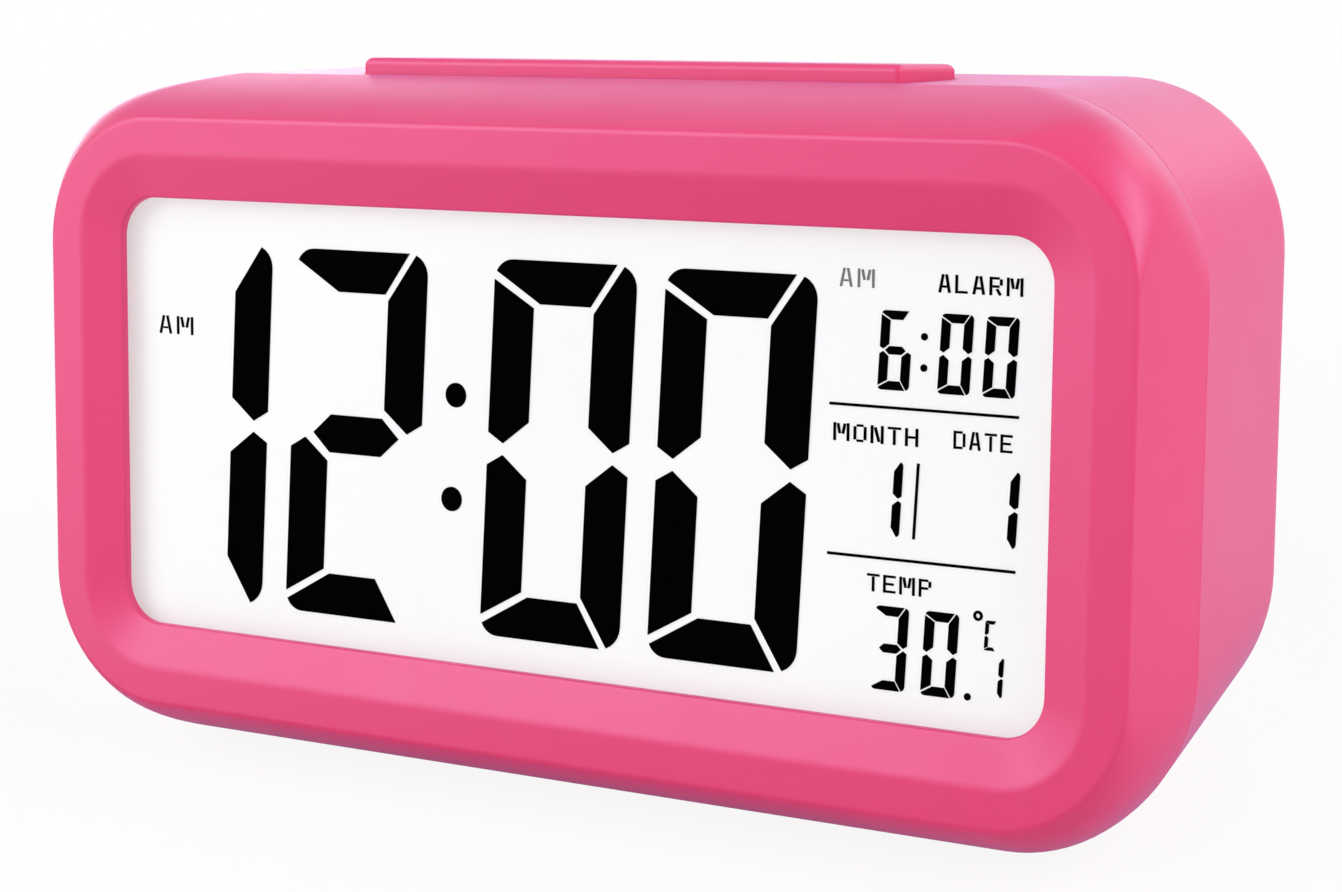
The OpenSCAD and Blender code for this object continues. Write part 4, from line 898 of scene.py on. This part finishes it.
def contact_coils():
    def coils(bm):
        for name, side in (("top", 1), ("middle", -1), ("bottom", 1)):
            low, high = span("battery_" + name)
            middle = ((low[1] + high[1]) / 2, (low[2] + high[2]) / 2)
            coil(bm, Vector((side * (bay_x - CONTACT_T), *middle)), side)

    return dress(solid("contact_coils", coils), "case", "steel", NICKEL, "contact_springs")


contact_coils()

# Wires inside the case, each on the route of its solid
WIRE_R = 0.6
WIRE_STEPS, WIRE_SIDES = 40, 14
LEAD_BOW, SOUNDER_BOW, SNOOZE_BOW = 6, 9, 3
LEAD_GAP = 2
# Where the wires meet the main board, in x and z, and how far beside the sounder its pair does
RED_PAD, BLACK_PAD = (-34, 2), (32, -12)
SNOOZE_PAD_Z, SOUNDER_SHIFT = 20, 4
main_back = span("main_board")[1][1]


def wire(bm, start, first, last, end):
    points = []
    for i in range(WIRE_STEPS + 1):
        t = i / WIRE_STEPS
        points.append(start * (1 - t) ** 3 + (start + first) * (3 * (1 - t) ** 2 * t)
                      + (end + last) * (3 * (1 - t) * t ** 2) + end * t ** 3)
    tube(bm, points, WIRE_R, WIRE_SIDES)


def contact_lead(name, node, side, cell, pad, look, slot):
    low, high = span("battery_" + cell)
    start = Vector((side * (bay_x - CONTACT_T / 2), plates_low[1], (low[2] + high[2]) / 2))
    bow = Vector((0, LEAD_BOW, 0))
    end = Vector((pad[0], main_back, pad[1]))
    made = solid(name, lambda bm: wire(bm, start, -bow, bow, end))
    return dress(made, "case", slot, look, node)


def twin_leads(name, node, start, first, last, end):
    def pair(bm):
        for shift in (-LEAD_GAP, LEAD_GAP):
            along = Vector((shift, 0, 0))
            wire(bm, start + along, first, last, end + along)

    return dress(solid(name, pair), "case", "black_wire", BLACK_SLEEVE, node)


contact_lead("red_lead", "battery_lead_red", -1, "top", RED_PAD, RED_SLEEVE, "red_wire")
contact_lead("black_lead", "battery_lead_black", 1, "bottom", BLACK_PAD, BLACK_SLEEVE, "black_wire")
twin_leads("sounder_wires", "sounder_leads",
           Vector((sounder[0], span("sounder_crystal")[0][1], sounder[1])), Vector((0, -SOUNDER_BOW, 0)),
           Vector((0, SOUNDER_BOW, 0)),
           Vector((sounder[0] + SOUNDER_SHIFT, main_back, sounder[1] + SOUNDER_SHIFT)))
twin_leads("snooze_wires", "snooze_leads",
           Vector((0, bar_mid, span("snooze_board")[0][2])), Vector((0, 0, -SNOOZE_BOW)),
           Vector((0, SNOOZE_BOW, 0)), Vector((0, main_back, SNOOZE_PAD_Z)))

# Words on the display and raised words at the controls. A letter is a set of separate strokes with square
# ends, each from x, z to x, z on a grid LETTER_H high. The weights are the strokes' widths on that grid.
LETTER_H, LETTER_GAP = 6, 1.2
THIN, PLAIN, BOLD = 0.62, 0.8, 0.9
LETTER_W = {"M": 5, "W": 5}
PLAIN_W = 4
STROKES = {
    "A": ((0.5, 0, 1.5, 6), (3.5, 0, 2.5, 6), (1.36, 2, 2.64, 2)),
    "D": ((0.45, 0, 0.45, 6), (1, 5.55, 3, 5.55), (3.55, 0.8, 3.55, 5.2), (1, 0.45, 3, 0.45)),
    "E": ((0.45, 0, 0.45, 6), (1, 5.55, 4, 5.55), (1, 3, 3.4, 3), (1, 0.45, 4, 0.45)),
    "F": ((0.45, 0, 0.45, 6), (1, 5.55, 4, 5.55), (1, 3, 3.4, 3)),
    "H": ((0.45, 0, 0.45, 6), (3.55, 0, 3.55, 6), (1, 3, 3, 3)),
    "L": ((0.45, 0, 0.45, 6), (1, 0.45, 3.8, 0.45)),
    "M": ((0.45, 0, 0.45, 6), (4.55, 0, 4.55, 6), (1.45, 5.8, 2.02, 2.4), (3.55, 5.8, 2.98, 2.4)),
    "N": ((0.45, 0, 0.45, 6), (3.55, 0, 3.55, 6), (1.4, 5.4, 2.6, 0.6)),
    "O": ((0.45, 0.8, 0.45, 5.2), (3.55, 0.8, 3.55, 5.2), (1, 5.55, 3, 5.55), (1, 0.45, 3, 0.45)),
    "P": ((0.45, 0, 0.45, 6), (1, 5.55, 3, 5.55), (3.55, 3.3, 3.55, 5.3), (1, 2.9, 3, 2.9)),
    "R": ((0.45, 0, 0.45, 6), (1, 5.55, 3, 5.55), (3.55, 3.3, 3.55, 5.3), (1, 2.9, 3, 2.9),
          (2.25, 2.1, 3.4, 0.1)),
    "S": ((1, 5.55, 3.8, 5.55), (0.45, 3.5, 0.45, 5.3), (1, 3, 3, 3), (3.55, 0.7, 3.55, 2.5),
          (0.2, 0.45, 3, 0.45)),
    "T": ((0, 5.55, 4, 5.55), (2, 0, 2, 5)),
    "U": ((0.45, 0.8, 0.45, 6), (3.55, 0.8, 3.55, 6), (1, 0.45, 3, 0.45)),
    "W": ((0.45, 0, 0.45, 6), (4.55, 0, 4.55, 6), (1.45, 0.2, 2.02, 3.6), (3.55, 0.2, 2.98, 3.6)),
}
ON_FRONT, ON_BACK = 1, -1


def stroke_corners(x0, z0, x1, z1, weight):
    along = Vector((x1 - x0, z1 - z0)).normalized()
    across = Vector((-along[1], along[0])) * (weight / 2)
    start, end = Vector((x0, z0)), Vector((x1, z1))
    return [start - across, end - across, end + across, start + across]


def words(name, entries, face, depth, rise, slot, look):
    """One piece of raised letters. An entry is a text, its middle, its width, its height and its weight."""
    def letters(bm):
        for text, middle, width, height, weight in entries:
            widths = [LETTER_W.get(letter, PLAIN_W) for letter in text]
            total = sum(widths) + LETTER_GAP * (len(text) - 1)
            start = -total / 2
            for letter, letter_w in zip(text, widths):
                for stroke in STROKES[letter]:
                    corners = [(middle[0] + face * (start + u) * width / total,
                                middle[1] + (v - LETTER_H / 2) * height / LETTER_H)
                               for u, v in stroke_corners(*stroke, weight)]
                    loft(bm, [[Vector((x, y, z)) for x, z in corners] for y in (depth, depth - face * rise)])
                start += letter_w + LETTER_GAP

    return dress(solid(name, letters), "case", slot, look)


display_front = span("lcd_panel")[0][1]
WORD_H, WORD_RISE = 1.75, 0.1
DISPLAY_WORDS = [
    ("AM", (-50.7, 9.68), 5.0, 2.0, THIN),
    ("ALARM", (48.1, 18.9), 8.9, WORD_H, PLAIN),
    ("MONTH", (37.2, 3.92), 9.3, WORD_H, PLAIN),
    ("DATE", (48.7, 4.05), 6.2, WORD_H, PLAIN),
    ("TEMP", (40.05, -10.6), 7.0, WORD_H, PLAIN),
]
FAINT_WORDS = [("AM", (34.9, 19.0), 3.9, 1.8, THIN)]
words("display_words", DISPLAY_WORDS, ON_FRONT, display_front, WORD_RISE, "segment_black", INK)
words("display_words_faint", FAINT_WORDS, ON_FRONT, display_front, WORD_RISE, "segment_black", FAINT)

LABEL_H, LABEL_RISE, LABEL_GAP = 2.1, 0.3, 2.3
ON_OFF_H, ON_SHIFT, OFF_SHIFT = 1.6, 6, -6.4
KEY_LABEL_W = {"mode": 6.4, "set": 4.4, "up": 3.0, "down": 7.0}
label_z = controls_z + key_r + LABEL_GAP
labels = [(key.upper(), (key_places[key][0], label_z), width, LABEL_H, BOLD)
          for key, width in KEY_LABEL_W.items()]
labels += [
    ("ALARM", (slot_x, label_z), 7.6, LABEL_H, BOLD),
    ("ON", (slot_x + ON_SHIFT, controls_z), 2.6, ON_OFF_H, BOLD),
    ("OFF", (slot_x + OFF_SHIFT, controls_z), 3.4, ON_OFF_H, BOLD),
]
words("rear_labels", labels, ON_BACK, BACK_Y, LABEL_RISE, "pink_plastic", PINK)


# Plain pale floor. Near the clock the camera sees a tenth of its shading, and further out plain white.
# Glossy rays see a painted shade in front of the clock, a dim patch that stands for the clock's shade on the
# floor, and white further out. Each has its share of white near the clock, and the distances in metres
# between which that grows to one.
FLOOR_SIZE, FLOOR_DRIFT = 8.0, 3
SHOWN_WHITE, SHOWN_FADE = 0.9, (0.12, 0.45)
MIRROR_WHITE, MIRROR_FADE = 0.15, (0.07, 0.18)
# Puts the middle of the painted shade patch in front of the part's origin, by as much
MIRROR_SHIFT = (0.0, 0.1, 0.0)


def brighter(new_node, link, a, b):
    """The larger of two numbers."""
    either = new_node("ShaderNodeMath")
    either.operation = "MAXIMUM"
    link(a, either.inputs[0])
    link(b, either.inputs[1])
    return either.outputs[0]


def faded(look, white, fade, shift=(0, 0, 0)):
    """A number that grows from white to one with the distance from the part's origin less a shift."""
    moved = look.node("Mapping", [("Vector", look.place)], Location=shift)
    away = look.node("VectorMath", [(0, moved.outputs["Vector"])])
    away.operation = "LENGTH"
    return look.ranged(away.outputs["Value"], white, 1.0, *fade)


def floor():
    bm = bmesh.new()
    bmesh.ops.create_grid(bm, x_segments=1, y_segments=1, size=FLOOR_SIZE / 2)
    mesh = bpy.data.meshes.new("floor")
    bm.to_mesh(mesh)
    bm.free()
    obj = bpy.data.objects.new("floor", mesh)
    bpy.context.scene.collection.objects.link(obj)
    look = Look("floor_paper", Roughness=0.9)
    look.feed("Base Color", look.blend(look.noise(FLOOR_DRIFT), linear(240, 240, 240), linear(244, 244, 244)))
    path = look.node("LightPath").outputs
    tools = (look.tree.nodes.new, look.tree.links.new)
    shown = look.node("Math", [(0, brighter(*tools, path["Is Camera Ray"], path["Is Transmission Ray"])),
                               (1, faded(look, SHOWN_WHITE, SHOWN_FADE))])
    shown.operation = "MULTIPLY"
    white = look.node("Emission", Strength=1.0, Color=(1, 1, 1, 1))
    paper = look.node("MixShader", [(0, shown.outputs[0]), (1, look.surface.outputs[0]),
                                    (2, white.outputs[0])])
    # Painted shade for glossy rays: dim in front of the clock, white further out
    reflected_painted_shade = look.node("Emission", [("Strength", faded(look, MIRROR_WHITE, MIRROR_FADE, MIRROR_SHIFT))],
                         Color=(1, 1, 1, 1))
    both = look.node("MixShader", [(0, path["Is Glossy Ray"]), (1, paper.outputs[0]),
                                   (2, reflected_painted_shade.outputs[0])])
    look.tree.links.new(both.outputs[0], look.tree.nodes["Material Output"].inputs["Surface"])
    look.material.cycles.emission_sampling = "NONE"
    mesh.materials.append(look.material)


floor()

# Soft studio light: name, place, width and height, power. The world adds a little from everywhere.
AMBIENT = 0.1
SOFTBOXES = [
    ("top_light", (0.0, 0.0, 0.85), (1.0, 0.8), 1.1),
    ("right_light", (0.75, 0.06, 0.5), (0.6, 0.7), 5.2),
    ("left_light", (-0.75, -0.65, 0.22), (0.6, 0.5), 1.6),
    ("front_light", (0.3, -0.95, 0.35), (0.8, 0.6), 1.6),
    ("slope_light", (-0.5, -0.55, 0.62), (0.7, 0.5), 4.6),
    ("back_light", (-0.3, 0.9, 0.14), (1.2, 0.25), 1.0),
    ("corner_light", (0.35, 0.68, 0.48), (0.4, 0.4), 1.0),
    ("rear_light", (-0.8, 0.58, 0.1), (0.6, 0.3), 3.2),
]


def softbox(name, place, size, power):
    lamp = bpy.data.lights.new(name, "AREA")
    lamp.shape = "RECTANGLE"
    lamp.size, lamp.size_y = size
    lamp.energy = power
    obj = bpy.data.objects.new(name, lamp)
    obj.location = place
    obj.rotation_mode = "QUATERNION"
    obj.rotation_quaternion = ((cad_box[0] + cad_box[1]) / 2 - Vector(place)).to_track_quat("-Z", "Y")
    bpy.context.scene.collection.objects.link(obj)


for box in SOFTBOXES:
    softbox(*box)


# Glossy and transmission rays see the white surroundings dimmer ahead of the clock. The dimming starts at
# the first cosine of the span to that direction, and reaches its level at the second.
AHEAD = (0.1, -0.995, 0.0)
AHEAD_SPAN, AHEAD_LEVEL = (0.68, 0.88), 0.5


def studio_world():
    world = bpy.data.worlds.new("studio")
    world.use_nodes = True
    world.cycles.sampling_method = "NONE"
    bpy.context.scene.world = world
    tree = world.node_tree
    new, link = tree.nodes.new, tree.links.new
    ground = tree.nodes["Background"]
    ground.inputs["Color"].default_value = (1, 1, 1, 1)
    ground.inputs["Strength"].default_value = AMBIENT
    path = new("ShaderNodeLightPath").outputs
    way = new("ShaderNodeTexCoord").outputs["Generated"]
    ahead = new("ShaderNodeVectorMath")
    ahead.operation = "DOT_PRODUCT"
    ahead.inputs[1].default_value = AHEAD
    link(way, ahead.inputs[0])
    level = new("ShaderNodeMapRange")
    for socket, value in zip(("From Min", "From Max", "To Min", "To Max"), (*AHEAD_SPAN, 1.0, AHEAD_LEVEL)):
        level.inputs[socket].default_value = value
    link(ahead.outputs["Value"], level.inputs["Value"])
    strength = brighter(new, link, level.outputs["Result"], path["Is Camera Ray"])
    shown = new("ShaderNodeBackground")
    shown.inputs["Color"].default_value = (1, 1, 1, 1)
    link(strength, shown.inputs["Strength"])
    seen = brighter(new, link, path["Is Camera Ray"], path["Is Glossy Ray"])
    seen = brighter(new, link, seen, path["Is Transmission Ray"])
    both = new("ShaderNodeMixShader")
    link(seen, both.inputs[0])
    link(ground.outputs[0], both.inputs[1])
    link(shown.outputs[0], both.inputs[2])
    link(both.outputs[0], tree.nodes["World Output"].inputs["Surface"])


studio_world()

# Camera at the photograph's angle, placed in the clock's own axes
CAMERA_PLACE = (177.18, -263.29, 41.70)
CAMERA_YAW, CAMERA_PITCH, CAMERA_ROLL = -0.5513, 0.1298, 0.0089
SENSOR_W = 36
PHOTO_W, FOCAL_PIXELS = 1342, 3119
NEAR, FAR = 0.01, 20


def camera():
    lens = bpy.data.cameras.new("camera")
    lens.sensor_width = SENSOR_W
    lens.lens = SENSOR_W * FOCAL_PIXELS / PHOTO_W
    lens.clip_start, lens.clip_end = NEAR, FAR
    obj = bpy.data.objects.new("camera", lens)
    bpy.context.scene.collection.objects.link(obj)
    bpy.context.scene.camera = obj
    upright_view = Matrix(((1, 0, 0), (0, 0, -1), (0, 1, 0)))
    view = (Matrix.Rotation(CAMERA_ROLL, 3, "Z") @ Matrix.Rotation(CAMERA_PITCH, 3, "X")
            @ upright_view @ Matrix.Rotation(CAMERA_YAW, 3, "Z"))
    axes = Matrix((view[0], -view[1], -view[2])).transposed()
    obj.matrix_world = (Matrix.Translation(UPRIGHT @ Vector(CAMERA_PLACE))
                        @ (TURN.to_3x3() @ axes).to_4x4())


camera()
bpy.context.scene.view_settings.view_transform = "Standard"
